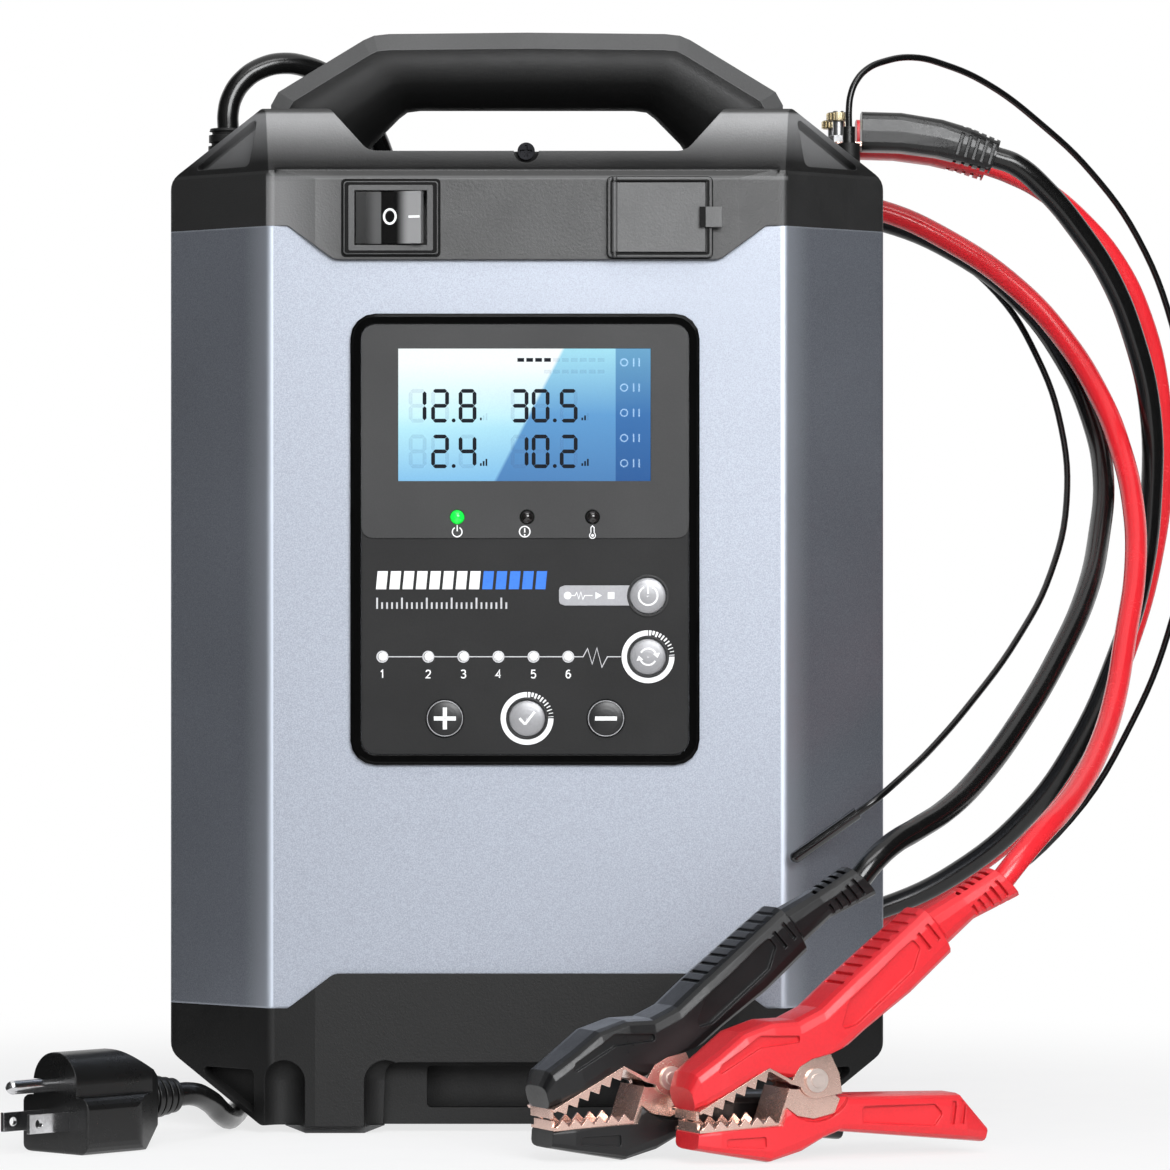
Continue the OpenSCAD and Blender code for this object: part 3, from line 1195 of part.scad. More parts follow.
// The line on which the upper jaw lies against its arm, and where the arm clears the pivot
mouth = [[-42, -8.9], [-16.8, 4.5], [-8.6, 0.2], [-6, 4.6], [-1.5, 7], [5.3, 8.4], [12.3, 11]];
lower_mouth = [[-41.2, -16], [-12.1, -14.5], [-8, -2.8]];
tooth_pitch = 4.4;
tooth_h = 2.5;
hole_gap = 0.05;
plate_out = [9.6, 10.6];
plate_in = [8.2, 9.2];
lobe_r = 5.8;
spring_wire = 0.6;
spring_r = 4.4;
spring_turns = 5;
spring_pitch = 1.6;
spring_leg = 16;
groove_half = 1;
spring_up = 38;
spring_down = -8;
slot_w = 1.2;
rib_count = 9;

// A groove in a clamp's plastic for one leg of its spring, at an angle, a side and a depth across it
module leg_groove(angle, side, w) rotate([0, -angle, 0]) translate([0, w, side * spring_r])
    block([-2, -groove_half, -groove_half], [spring_leg + 2, groove_half, groove_half]);

spring_w = spring_turns * spring_pitch / 2;

module clamp_arm() difference() {
    loft([for (s = arm_line) clamp_ring(s)]);
    along_y(-20, 20) polygon(concat(mouth, [[20, 4], [20, -30], [-60, -30], [-60, -8.9]]));
    rotate([90, 0, 0]) cylinder(r = 6.9, h = 20, center = true);
    leg_groove(spring_up, 1, spring_w);
    for (s = [-1, 1]) {
        along_y(s > 0 ? 8.9 : -12, s > 0 ? 12 : -8.9)
            polygon(rounded([[9, 16], [15, 17.6], [36, 34.6], [38.6, 42], [36, 45], [31, 41.4],
                [12, 25.4]], 1.2));
        along_y(s > 0 ? 9.4 : -12, s > 0 ? 12 : -9.4)
            polygon(rounded([[-36, 2], [-20, 11], [-6, 12.4], [-6, 14.6], [-20, 15], [-34, 6]], 0.8));
        for (i = [0, 1]) translate([43.4 - i * 3.4, 0, 47 - i * 2.8]) rotate([0, 48, 0])
            block([-3.4, s > 0 ? 8.4 : -12, -0.7], [3.4, s > 0 ? 12 : -8.4, 0.7]);
        translate([66.4, 0, 56.8]) rotate([0, -42, 0]) for (i = [0:slot_count - 1])
            translate([i * 3 - 6, 0, 0]) {
                block([-slot_w / 2, -4, s > 0 ? 4.6 : -9], [slot_w / 2, 4, s > 0 ? 9 : -4.6]);
                block([-slot_w / 2, s > 0 ? 5 : -9, -3.4], [slot_w / 2, s > 0 ? 9 : -5, 3.4]);
            }
    }
    for (i = [0:rib_count - 1]) translate([12 + i * 3.3, 0, 30.9 + i * 2.72]) rotate([0, -40, 0])
        block([-0.7, -6.5, -0.7], [0.7, 6.5, 3]);
}

module clamp_lever() difference() {
    loft([for (s = lever_line) clamp_ring(s)]);
    along_y(-20, 20) polygon(concat(lower_mouth, [[-8, 10], [-60, 10], [-60, -16]]));
    rotate([90, 0, 0]) cylinder(r = 6.3, h = 20, center = true);
    for (s = [-1, 1]) intersection() {
        rotate([90, 0, 0]) cylinder(r = 13.6, h = 30, center = true);
        block([-14, s > 0 ? plate_in[0] : -15, -16], [14, s > 0 ? 15 : -plate_in[0], 8]);
    }
    leg_groove(spring_down, -1, -spring_w);
    for (s = [-1, 1]) {
        along_y(s > 0 ? 9 : -12, s > 0 ? 12 : -9)
            polygon(rounded([[17, -9], [44, -9.2], [47, -12.4], [44, -16.4], [17, -14.4]], 1.2));
        for (i = [0, 1]) translate([51 + i * 3.6, 0, -12.4]) rotate([0, 8, 0])
            block([-0.8, s > 0 ? 8.6 : -12, -3.8], [0.8, s > 0 ? 12 : -8.6, 3.8]);
        along_y(s > 0 ? 9.8 : -12, s > 0 ? 12 : -9.8)
            polygon(rounded([[-32, -18.2], [-18, -17.8], [-18, -21.6], [-32, -20.6]], 0.8));
    }
}

// Teeth along a line from p, in the direction d, standing out along n
module tooth_row(p, d, n) for (i = [0:teeth - 1]) let (q = p + d * i * tooth_pitch)
    polygon([q - n * 0.5, q + d * tooth_pitch - n * 0.5, q + d * tooth_pitch,
        q + d * tooth_pitch / 2 + n * tooth_h, q]);

// Both sides' sheet plates, between two distances from the middle
module plates(span) for (s = [0, 1]) mirror([0, s, 0]) along_y(span[0], span[1]) children();

module rivet_hole() rotate([90, 0, 0]) cylinder(r = rivet_r + hole_gap, h = 40, center = true);

upper_d = unit(mouth[1] - mouth[0]);
upper_n = [upper_d[1], -upper_d[0]];
lower_d = unit(lower_mouth[1] - lower_mouth[0]);
lower_n = [-lower_d[1], lower_d[0]];

module upper_jaw() difference() {
    union() {
        along_y(-plate_out[1], plate_out[1]) polygon([mouth[0], mouth[1], mouth[2],
            mouth[2] + [-0.46, -0.89] * jaw_t,
            mouth[1] - [0, 1.13] * jaw_t, mouth[0] + upper_n * jaw_t]);
        plates(plate_out) tooth_row(mouth[0] + upper_n * jaw_t + upper_d, upper_d, upper_n);
        along_y(-8, 8) polygon([[-42, -8.9], [-41, -9.2], [-41, -12], [-42, -12]]);
        plates(plate_out) {
            polygon([[-11.5, 1.72], mouth[2], mouth[3], mouth[4], mouth[5], [8.5, 2], [9.5, -4.5],
                [0, -lobe_r],
                [-5.4, -2], [-9.4, -0.8], [-11.5, 0.7]]);
            circle(r = lobe_r);
        }
    }
    rivet_hole();
}

module lower_jaw() difference() {
    union() {
        along_y(-plate_in[1], plate_in[1]) polygon([lower_mouth[0], lower_mouth[1], lower_mouth[2],
            lower_mouth[2] + [-jaw_t, 0.3], lower_mouth[1] + [-0.7, 1] * jaw_t,
                lower_mouth[0] + [0, jaw_t]]);
        plates(plate_in) tooth_row(lower_mouth[0] + [1, jaw_t], lower_d, lower_n);
        along_y(-7, 7) polygon([[-41.2, -16], [-40.2, -16], [-40.2, -12.8], [-41.2, -12.8]]);
        plates(plate_in) {
            polygon([[-10.3, -8.4], [-8.5, -2.75], [-5, -2.9], [4.6, -3], [9.4, -6.4], [7.4, -11],
                [0, -12.6], [-6, -11.5]]);
            circle(r = lobe_r);
        }
    }
    rivet_hole();
}

module upper_jaws() color([0.85, 0.5, 0.35]) {
    at_clamp(black_pivot) upper_jaw();
    at_clamp(red_pivot) upper_jaw();
}

// The spring's path round the rivet, with a leg at each end
spring_rings = 8;
spring_start = spring_up + 90;
function coil_at(i, n) = let (a = spring_start - (360 * spring_turns
    + spring_up - spring_down - 180) * i / n)
    [spring_r * cos(a), spring_w * (1 - 2 * i / n), spring_r * sin(a)];
spring_n = spring_rings * spring_turns;
spring_path = concat(
    [coil_at(0, spring_n) + spring_leg * [cos(spring_up), 0, sin(spring_up)]],
    [for (i = [0:spring_n]) coil_at(i, spring_n)],
    [coil_at(spring_n, spring_n) + spring_leg * [cos(spring_down), 0, sin(spring_down)]]);

module clamp_spring() tube(spring_path, 2 * spring_wire, 6);

module clamp_rivets() color([0.9, 0.9, 0.9]) for (p = [black_pivot, red_pivot]) at_clamp(p)
    rotate([90, 0, 0]) {
    cylinder(r = rivet_r, h = 2 * plate_out[1], center = true);
    for (s = [0, 1]) mirror([0, 0, s]) translate([0, 0, plate_out[1]]) {
        cylinder(r = 3.9, h = 1);
        translate([0, 0, 1 - eps]) cylinder(r = 2.2, h = 0.6);
    }
}

module black_clamp_arm() color([0.1, 0.1, 0.1]) at_clamp(black_pivot) clamp_arm();
module black_clamp_lever() color([0.1, 0.1, 0.1]) at_clamp(black_pivot) clamp_lever();
module black_lower_jaw() color([0.85, 0.5, 0.35]) at_clamp(black_pivot) lower_jaw();
module black_spring() color([0.8, 0.8, 0.8]) at_clamp(black_pivot) clamp_spring();
module red_clamp_arm() color([0.85, 0.1, 0.12]) at_clamp(red_pivot) clamp_arm();
module red_clamp_lever() color([0.85, 0.1, 0.12]) at_clamp(red_pivot) clamp_lever();
module red_lower_jaw() color([0.85, 0.5, 0.35]) at_clamp(red_pivot) lower_jaw();
module red_spring() color([0.8, 0.8, 0.8]) at_clamp(red_pivot) clamp_spring();

// ---------------------------------------------------------------- fasteners

// A screw along Y with its head to the rear
module screw_y(x, y, z, l) {
    rod_y(x, z, screw_r, y - l, y + eps);
    difference() {
        rod_y(x, z, 3, y, y + 1.8);
        block([x - 2, y + 1, z - 0.4], [x + 2, y + 2, z + 0.4]);
        block([x - 0.4, y + 1, z - 2], [x + 0.4, y + 2, z + 2]);
    }
}

module housing_screws() color([0.85, 0.85, 0.87]) {
    grille_screws_at() screw_y(0, rear_y + grille_t, 0, 12);
    both_sides() screw_y(hook_x, rear_y + hook_plate_t, hook_screw_z, 9);
    translate([0, 2 * notch_y, 0]) mirror([0, 1, 0]) screw_y(notch_x, notch_y, rim_z, 3);
}

metal_sleeve();
top_cap();
base_cap();
handle_shell();
handle_cover();
rubber_feet();
panel_bezel();
panel_fascia();
display_fascia();
display_lens();
display_module();
control_board();
power_led();
status_leds();
mode_leds();
start_button();
mode_button();
set_button();
plus_button();
minus_button();
switch_frame();
switch_rocker();
usb_frame();
usb_flap();
usb_sockets();
fan_grille();
fan_frame();
fan_rotor();
main_board();
heatsink();
transformer();
terminal_block();
terminal_posts();
terminal_nuts();
lead_lugs();
black_boot();
red_boot();
sensor_plug();
mains_gland();
mains_cord();
mains_coil();
mains_tail();
plug_body();
plug_pins();
black_lead();
red_lead();
sensor_lead();
sensor_probe();
black_clamp_arm();
black_clamp_lever();
black_lower_jaw();
black_spring();
red_clamp_arm();
red_clamp_lever();
red_lower_jaw();
red_spring();
upper_jaws();
clamp_rivets();
housing_screws();
cable_hooks();
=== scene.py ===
import json
import math
import bpy
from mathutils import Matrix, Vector


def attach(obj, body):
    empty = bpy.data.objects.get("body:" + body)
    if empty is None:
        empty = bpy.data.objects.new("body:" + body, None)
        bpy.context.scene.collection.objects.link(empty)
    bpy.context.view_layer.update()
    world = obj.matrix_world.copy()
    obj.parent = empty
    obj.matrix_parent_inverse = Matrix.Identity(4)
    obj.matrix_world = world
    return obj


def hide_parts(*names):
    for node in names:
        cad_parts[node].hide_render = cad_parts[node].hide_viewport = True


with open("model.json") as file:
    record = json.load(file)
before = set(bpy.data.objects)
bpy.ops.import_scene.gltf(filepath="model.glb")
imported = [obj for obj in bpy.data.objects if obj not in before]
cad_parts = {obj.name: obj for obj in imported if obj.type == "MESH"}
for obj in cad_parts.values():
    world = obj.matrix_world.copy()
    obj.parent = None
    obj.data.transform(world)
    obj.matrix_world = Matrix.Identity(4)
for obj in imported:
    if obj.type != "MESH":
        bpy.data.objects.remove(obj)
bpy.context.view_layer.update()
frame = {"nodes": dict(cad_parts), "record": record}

nodes = frame["nodes"]

# Sizes and places are in mm, as in part.scad, but for the floor and the lights, which are in metres
MM = 0.001
FRONT = -94.5        # y of the housing's front face
FACE_X = 88.5        # half width of the front face
SHOULDER_Z = 328.8   # height of the top cap's shoulders


def m(*p):
    """A place in mm, turned into metres."""
    return Vector(p) * MM


# ------------------------------------------------------------ camera
PHOTO = 1170                         # width and height of the photo in pixels
VIEW_X, VIEW_Z = -0.7, 177           # the place on the front face that the camera stands before
MIDDLE_RIGHT, MIDDLE_UP = 60, 32     # pixels from that place to the middle of the photo
DISTANCE = 2000

bpy.context.scene.view_settings.view_transform = "Standard"
cam = bpy.data.objects.new("camera", bpy.data.cameras.new("camera"))
bpy.context.scene.collection.objects.link(cam)
bpy.context.scene.camera = cam
cam.location = m(VIEW_X, FRONT - DISTANCE, VIEW_Z)
cam.rotation_euler = (math.radians(90), 0, 0)
cam.data.sensor_width = 36
cam.data.lens = 179.69
cam.data.shift_x = MIDDLE_RIGHT / PHOTO
cam.data.shift_y = MIDDLE_UP / PHOTO
cam.data.clip_start = 0.05
cam.data.clip_end = 50


# ------------------------------------------------------------ materials
class Look:
    """The node tree of a material or of the world, with short calls for the nodes that this scene uses."""

    def __init__(self, owner, output="OutputMaterial"):
        owner.use_nodes = True
        self.owner = owner
        self.tree = owner.node_tree
        self.tree.nodes.clear()
        self.output = self.new(output)

    @property
    def place(self):
        """The place on the object, in metres."""
        return self.new("TexCoord").outputs["Object"]

    def put(self, socket, value):
        """Links a socket to another node's, or gives it a plain value; a colour gets its alpha here."""
        if hasattr(value, "is_output"):
            self.tree.links.new(value, socket)
            return
        if isinstance(value, (tuple, list)) and len(value) < len(socket.default_value):
            value = (*value, 1)
        socket.default_value = value

    def new(self, kind, **inputs):
        """A node with its inputs set; an input that is None stays as it is."""
        node = self.tree.nodes.new("ShaderNode" + kind)
        for name, value in inputs.items():
            if value is not None:
                self.put(node.inputs[name.replace("_", " ")], value)
        return node

    def noise(self, scale, detail=3, rough=0.55, place=None):
        place = place or self.place
        return self.new("TexNoise", Vector=place, Scale=scale, Detail=detail, Roughness=rough).outputs["Fac"]

    def stretched(self, x, y, z):
        return self.new("Mapping", Vector=self.place, Scale=(x, y, z)).outputs["Vector"]

    def axis(self, name, vector=None):
        return self.new("SeparateXYZ", Vector=vector or self.place).outputs[name]

    def span(self, value, low, high, at_low=0.0, at_high=1.0, smooth=False):
        """A value's run from low to high, spread from at_low to at_high and held beyond its ends."""
        node = self.new("MapRange", Value=value, From_Min=low, From_Max=high, To_Min=at_low, To_Max=at_high)
        node.interpolation_type = "SMOOTHSTEP" if smooth else "LINEAR"
        return node.outputs["Result"]

    def ramp(self, place, start, end, **more):
        """The same for a place along an axis, from start to end in mm."""
        return self.span(place, start * MM, end * MM, **more)

    def band(self, place, start, full, fading, end):
        """1 between full and fading, 0 before start and past end, all in mm."""
        return self.times(self.ramp(place, start, full), self.ramp(place, end, fading))

    def vary(self, noise, low=0.0, high=1.0):
        """A noise's usual range, spread from low to high."""
        return self.span(noise, 0.3, 0.7, low, high)

    def calc(self, kind, *values):
        node = self.new("Math")
        node.operation = kind
        for socket, value in zip(node.inputs, values):
            self.put(socket, value)
        return node.outputs[0]

    def add(self, a, b):
        return self.calc("ADD", a, b)

    def times(self, product, *factors):
        for factor in factors:
            product = self.calc("MULTIPLY", product, factor)
        return product

    def vector(self, kind, *values):
        """A vector's sum or direction, or the plain number of a dot product or a length."""
        node = self.new("VectorMath")
        node.operation = kind
        for socket, value in zip(node.inputs, values):
            self.put(socket, value)
        return node.outputs["Value" if kind in ("DOT_PRODUCT", "LENGTH") else "Vector"]

    def mix(self, share, first, second, kind="MIX"):
        node = self.tree.nodes.new("ShaderNodeMix")
        node.data_type = "RGBA"
        node.blend_type = kind
        for index, value in ((0, share), (6, first), (7, second)):
            self.put(node.inputs[index], value)
        return node.outputs[2]

    def bump(self, height, strength, distance, normal=None):
        node = self.new("Bump", Height=height, Strength=strength, Distance=distance * MM, Normal=normal)
        return node.outputs["Normal"]

    def bevel(self, radius):
        """The normal with edges rounded by a radius in mm."""
        node = self.new("Bevel", Radius=radius * MM)
        node.samples = 4
        return node.outputs["Normal"]

    def edges(self, bevelled):
        """1 along the edges, where the bevelled normal leaves the true one."""
        true_normal = self.new("NewGeometry").outputs["Normal"]
        return self.span(self.vector("DOT_PRODUCT", bevelled, true_normal), 0.98, 0.75, smooth=True)

    def hollows(self, reach):
        """1 in the piece's own hollows, 0 on its open faces."""
        node = self.new("AmbientOcclusion", Distance=reach * MM)
        node.only_local = True
        node.samples = 6
        return self.span(node.outputs["AO"], 0.8, 0.35)

    def gloss(self, patches, low, high, grain, fall=-0.03, rise=0.03):
        """Roughness from low to high in patches, with a little of the grain on top."""
        return self.add(self.vary(patches, low, high), self.vary(grain, fall, rise))

    def seen_directly(self):
        """1 for the camera and for what it sees in glossy or clear pieces, 0 for what lights the object."""
        path = self.new("LightPath").outputs
        mirrored = self.calc("MAXIMUM", path["Is Glossy Ray"], path["Is Transmission Ray"])
        return self.calc("MAXIMUM", path["Is Camera Ray"], mirrored)

    def blend(self, share, first, second):
        """Two shaders mixed, as the finished look."""
        node = self.new("MixShader")
        for socket, value in zip(node.inputs, (share, first.outputs[0], second.outputs[0])):
            self.put(socket, value)
        return self.show(node)

    def surface(self, colour, rough, normal=None, **more):
        """A principled shader as the finished look."""
        shader = self.new("BsdfPrincipled", Base_Color=colour, Roughness=rough, Normal=normal, **more)
        return self.show(shader)

    def show(self, shader):
        self.put(self.output.inputs["Surface"], shader.outputs[0])
        return self.owner


def material(name):
    return Look(bpy.data.materials.new(name))


def srgb(r, g, b):
    return tuple(((c / 255 + 0.055) / 1.055) ** 2.4 if c > 10 else c / 255 / 12.92 for c in (r, g, b))


def shade(colour, factor, lift=0.0):
    return [min(1, c * factor + lift) for c in colour]


def plastic_noises(look, grain):
    """A plastic's fine grain, its broad unevenness and its smudges."""
    return look.noise(grain, 4), look.noise(22), look.noise(70, 4, 0.7)


# Edges paler in patches: partly wear, partly a painted highlight along the edges
def rubbed_edges(look, bevelled, smudge):
    return look.times(look.edges(bevelled), look.span(smudge, 0.35, 0.62))


def moulded(name, colour, rough, grain=1400, depth=0.25, edge=0.4, worn=1.6, spread=0.1, rounding=0.0,
            hollow=0.0, **more):
    """Moulded plastic or rubber: fine grain, uneven gloss, edges paler in patches (partly wear, partly a
    painted highlight), and painted shade in its hollows.
    """
    look = material(name)
    fine, broad, smudge = plastic_noises(look, grain)
    soft = look.bevel(edge)
    base = look.mix(look.vary(broad), shade(colour, 1 - spread), shade(colour, 1 + spread))
    base = look.mix(look.span(fine, 0.35, 0.65, 0, 0.16), base, shade(colour, 0.55))
    # Edges paler in patches, partly wear and partly a painted highlight; worn sets how pale
    base = look.mix(rubbed_edges(look, soft, smudge), base, shade(colour, worn, 0.012))
    gloss = look.gloss(smudge, rough * 0.86, rough * 1.12, fine)
    if hollow:
        # Painted shade: the base colour darkens in the piece's own hollows
        inner = look.hollows(hollow)
        base = look.mix(inner, base, shade(colour, 0.25))
        gloss = look.add(gloss, look.times(inner, 0.3))
    form = look.bevel(rounding) if rounding else soft
    return look.surface(base, gloss, look.bump(fine, depth, 0.25, form), **more)


# y at which the marks of the housing's front corners start to show, and where they are full
CORNER_START, CORNER_FULL = -50, -60
# The way that the leaning upper part of the right front corner faces; its mirror image is on the left
CORNER_FACING = (0.6402, -0.7103, 0.2924)


def below_corner_face(look, across, y, z):
    """Depth below the leaning face of a corner, in metres."""
    depth = 0.0
    for place, start, facing in zip((across, y, z), (FACE_X, FRONT, SHOULDER_Z), CORNER_FACING):
        depth = look.calc("SUBTRACT", depth, look.times(look.calc("SUBTRACT", place, start * MM), facing))
    return depth


def cap_plastic():
    """The top cap's dark plastic: a crowned rim band above the apron, grained pockets, and painted light and
    shade: a shadow on the step, highlights below the step and on the rim band, light on the pocket floors and
    on the left end of the front.
    """
    look = material("grained_grey")
    fine, broad, smudge = plastic_noises(look, 1500)
    colour = srgb(25, 25, 25)
    soft = look.bevel(0.5)
    x, y, z = (look.axis(name) for name in "XYZ")
    across = look.calc("ABSOLUTE", x)
    base = look.mix(look.vary(broad), shade(colour, 0.9), shade(colour, 1.1))
    # Edges paler in patches: partly wear, partly a painted highlight
    base = look.mix(rubbed_edges(look, soft, smudge), base, srgb(66, 66, 66))

    # On the front face: a painted shadow on the step over the apron, a painted highlight on the lip below it
    # and painted light on the left flank
    front = look.ramp(y, FRONT + 1, FRONT + 0.7)
    step = look.times(front, look.band(z, 328.0, 328.4, 329.6, 330.2))
    lip_highlight = look.times(front, look.band(z, 326.4, 327.0, 327.8, 328.2), 0.5)
    flank_light = look.times(front, look.ramp(x, -64, -84), look.ramp(z, 330, 326))
    # On the corners: painted light on the floors of the pockets, which lie 3 to 5 mm below the leaning face
    floor = look.times(look.band(below_corner_face(look, across, y, z), 2.6, 3.4, 5.0, 5.8),
                       look.ramp(z, 330.5, 331.2), look.ramp(y, CORNER_START, CORNER_FULL),
                       look.ramp(across, 91.5, 92.5))
    base = look.mix(step, base, srgb(9, 9, 9))
    base = look.mix(lip_highlight, base, srgb(96, 96, 96))
    base = look.mix(floor, base, srgb(106, 106, 106))
    base = look.mix(flank_light, base, srgb(98, 98, 98))

    # The rim band is crowned: its normal leans down at its lower edge, and a painted highlight lies on it
    # higher up
    rim = look.band(z, 329.8, 330.2, 350.0, 351.0)
    tilt = look.times(look.ramp(z, 329.8, 348.0, at_low=-0.95, at_high=-0.3), rim)
    rim_highlight = look.times(look.ramp(z, 333.0, 348.0), rim, look.ramp(y, -60, -65))
    base = look.mix(rim_highlight, base, srgb(118, 118, 118))
    leaning = look.vector("ADD", soft, look.new("CombineXYZ", Z=tilt).outputs["Vector"])
    form = look.vector("NORMALIZE", leaning)

    # Faces that look up are duller
    upward = look.span(look.axis("Z", soft), 0.75, 0.95, 0.0, 0.42)
    gloss = look.add(look.gloss(smudge, 0.46, 0.54, fine), upward)
    return look.surface(base, gloss, look.bump(fine, 0.3, 0.25, form), Specular_IOR_Level=0.85)


FOLD_X = -49.9   # the fold between the rocker's two wings


def rocker_look():
    """Gloss black with a painted reflection of the light in its two hollow wings, to the left and right of
    the fold.
    """
    look = material("rocker_gloss")
    x = look.axis("X")
    fine = look.noise(500)
    # Painted reflection: each wing grows paler across a band, and the right one darkens again near its end
    left_reflection = look.ramp(x, FOLD_X - 5.6, FOLD_X - 1.3, smooth=True)
    right_reflection = look.ramp(x, FOLD_X + 5.1, FOLD_X + 9.7, smooth=True)
    right_reflection_end = look.ramp(x, FOLD_X + 13.7, FOLD_X + 15.4)
    left = look.mix(left_reflection, srgb(12, 12, 12), srgb(66, 66, 66))
    right = look.mix(right_reflection, srgb(14, 14, 14), srgb(132, 132, 132))
    right = look.mix(right_reflection_end, right, srgb(60, 60, 60))
    base = look.mix(look.ramp(x, FOLD_X - 0.1, FOLD_X + 0.1), left, right)
    relief = look.bump(fine, 0.005, 0.1, look.bevel(0.4))
    return look.surface(base, look.vary(fine, 0.2, 0.26), relief, Specular_IOR_Level=0.2)


def plated(name, colour, rough, brushed=(1, 1, 1), depth=0.12, edge=0.25, dull=0.75, metal=1.0):
    """Bare or plated metal: directional grain, tarnish in patches, and a painted highlight along the edges.
    """
    look = material(name)
    grain = look.noise(900, 5, 0.6, look.stretched(*brushed))
    patch = look.noise(90, 4, 0.65)
    soft = look.bevel(edge)
    base = look.mix(look.span(patch, 0.42, 0.68), colour, shade(colour, dull))
    # Painted highlight along the edges
    base = look.mix(look.edges(soft), base, shade(colour, 1.18))
    gloss = look.gloss(patch, rough * 0.75, rough * 1.35, grain, -0.04, 0.05)
    return look.surface(base, gloss, look.bump(grain, depth, 0.2, soft), Metallic=metal)


def painted_metal():
    """Blue-grey metallic paint on the sleeve: flakes, orange peel, and painted highlights on its edges, on
    the fold beside the front face and on the corner faces.
    """
    look = material("metallic_paint")
    flake = look.noise(2600, 2, 0.5)
    peel = look.noise(420, 2, 0.4)
    broad = look.noise(9)
    colour = srgb(152, 157, 167)
    soft = look.bevel(1.2)
    across, y = look.calc("ABSOLUTE", look.axis("X")), look.axis("Y")

    # A painted highlight on the fold beside the front face, and painted light on the corner face that grows
    # paler towards it
    fold = look.times(look.ramp(across, FACE_X - 1.8, FACE_X - 1.2), look.ramp(y, FRONT + 1.5, FRONT + 0.7))
    paler = look.ramp(across, FACE_X + 10, FACE_X, at_high=0.75, smooth=True)
    beside = look.times(paler, look.ramp(across, FACE_X - 0.5, FACE_X + 0.1),
                        look.ramp(y, CORNER_START, CORNER_FULL))
    base = look.mix(look.vary(flake), shade(colour, 0.8), shade(colour, 1.22))
    base = look.mix(look.vary(broad, 0, 0.12), base, shade(colour, 1.15))
    # Painted highlight along the edges
    base = look.mix(look.edges(soft), base, srgb(196, 202, 212))
    base = look.mix(beside, base, srgb(206, 212, 222))
    base = look.mix(fold, base, srgb(198, 205, 216))
    gloss = look.gloss(flake, 0.45, 0.55, broad, -0.02, 0.03)
    relief = look.bump(peel, 0.05, 0.3, look.bump(flake, 0.12, 0.1, soft))
    return look.surface(base, gloss, relief, Metallic=0.92, Coat_Weight=0.1, Coat_Roughness=0.3)


def rubbery(name, colour, rough):
    """A cord's jacket: glossy, with faint drawn lines and dusty patches."""
    look = material(name)
    fine = look.noise(600, 2)
    dust = look.noise(45, 4, 0.7)
    base = look.mix(look.span(dust, 0.45, 0.75, 0, 0.3), colour, shade(colour, 1.25, 0.002))
    gloss = look.gloss(dust, rough * 0.85, rough * 1.3, fine)
    return look.surface(base, gloss, look.bump(fine, 0.03, 0.1))


def lamp(name, colour, glow, strength):
    """A lamp's lens, lit or dark, under a clear coat."""
    look = material(name)
    cloudy = look.noise(900, 2)
    base = look.mix(look.vary(cloudy), shade(colour, 0.85), colour)
    return look.surface(base, look.vary(cloudy, 0.1, 0.2), look.bump(cloudy, 0.1, 0.1),
                        Emission_Color=glow, Emission_Strength=strength, Coat_Weight=0.5)


def display():
    """The lit display: pale at the left under a painted slanting reflection, deeper blue to the right and
    below.
    """
    look = material("display_glow")
    x, z = look.axis("X"), look.axis("Z")
    across = look.ramp(x, -44, 30)
    down = look.ramp(z, 268.6, 223.3)
    right = look.mix(look.span(down, 0.0, 0.5), srgb(165, 225, 242), srgb(99, 159, 211))
    right = look.mix(look.span(down, 0.5, 1.0), right, srgb(82, 133, 188))
    left = look.mix(look.span(down, 0.1, 0.6), srgb(249, 255, 255), srgb(196, 247, 254))
    left = look.mix(look.span(down, 0.5, 1.0), left, srgb(136, 196, 236))
    low_right = look.times(across, look.span(down, 0.15, 0.9, 0, 0.6))
    left = look.mix(low_right, left, srgb(120, 185, 232))
    # Painted reflection: the pale colours lie left of a slanting line
    reflection_edge = look.calc("SUBTRACT", x, look.times(z, 0.515))
    base = look.mix(look.ramp(reflection_edge, -125.4, -126.6), right, left)
    side_strip = look.ramp(x, 30.2, 30.4)
    base = look.mix(side_strip, base, srgb(168, 188, 214), "MULTIPLY")
    dots = look.noise(2600, 1)
    base = look.mix(look.span(dots, 0.35, 0.65, 0, 0.05), base, srgb(60, 110, 160))
    unlit = look.mix(1.0, base, (0.1, 0.1, 0.1), "MULTIPLY")
    return look.surface(unlit, look.vary(dots, 0.1, 0.16), Emission_Color=base, Emission_Strength=0.9)


def inked(name, colour):
    """Printed ink, a little uneven."""
    look = material(name)
    worn = look.noise(1500)
    base = look.mix(look.span(worn, 0.55, 0.75, 0, 0.4), colour, shade(colour, 0.6))
    return look.surface(base, look.vary(worn, 0.4, 0.55), Specular_IOR_Level=0.1)


def faint(name, colour, alpha):
    """A see-through print on the display."""
    look = material(name)
    worn = look.noise(900)
    base = look.mix(look.span(worn, 0.4, 0.7, 0, 0.3), colour, shade(colour, 0.7))
    return look.surface(base, look.vary(worn, 0.3, 0.4), Alpha=alpha, Emission_Color=colour,
                        Emission_Strength=0.6)


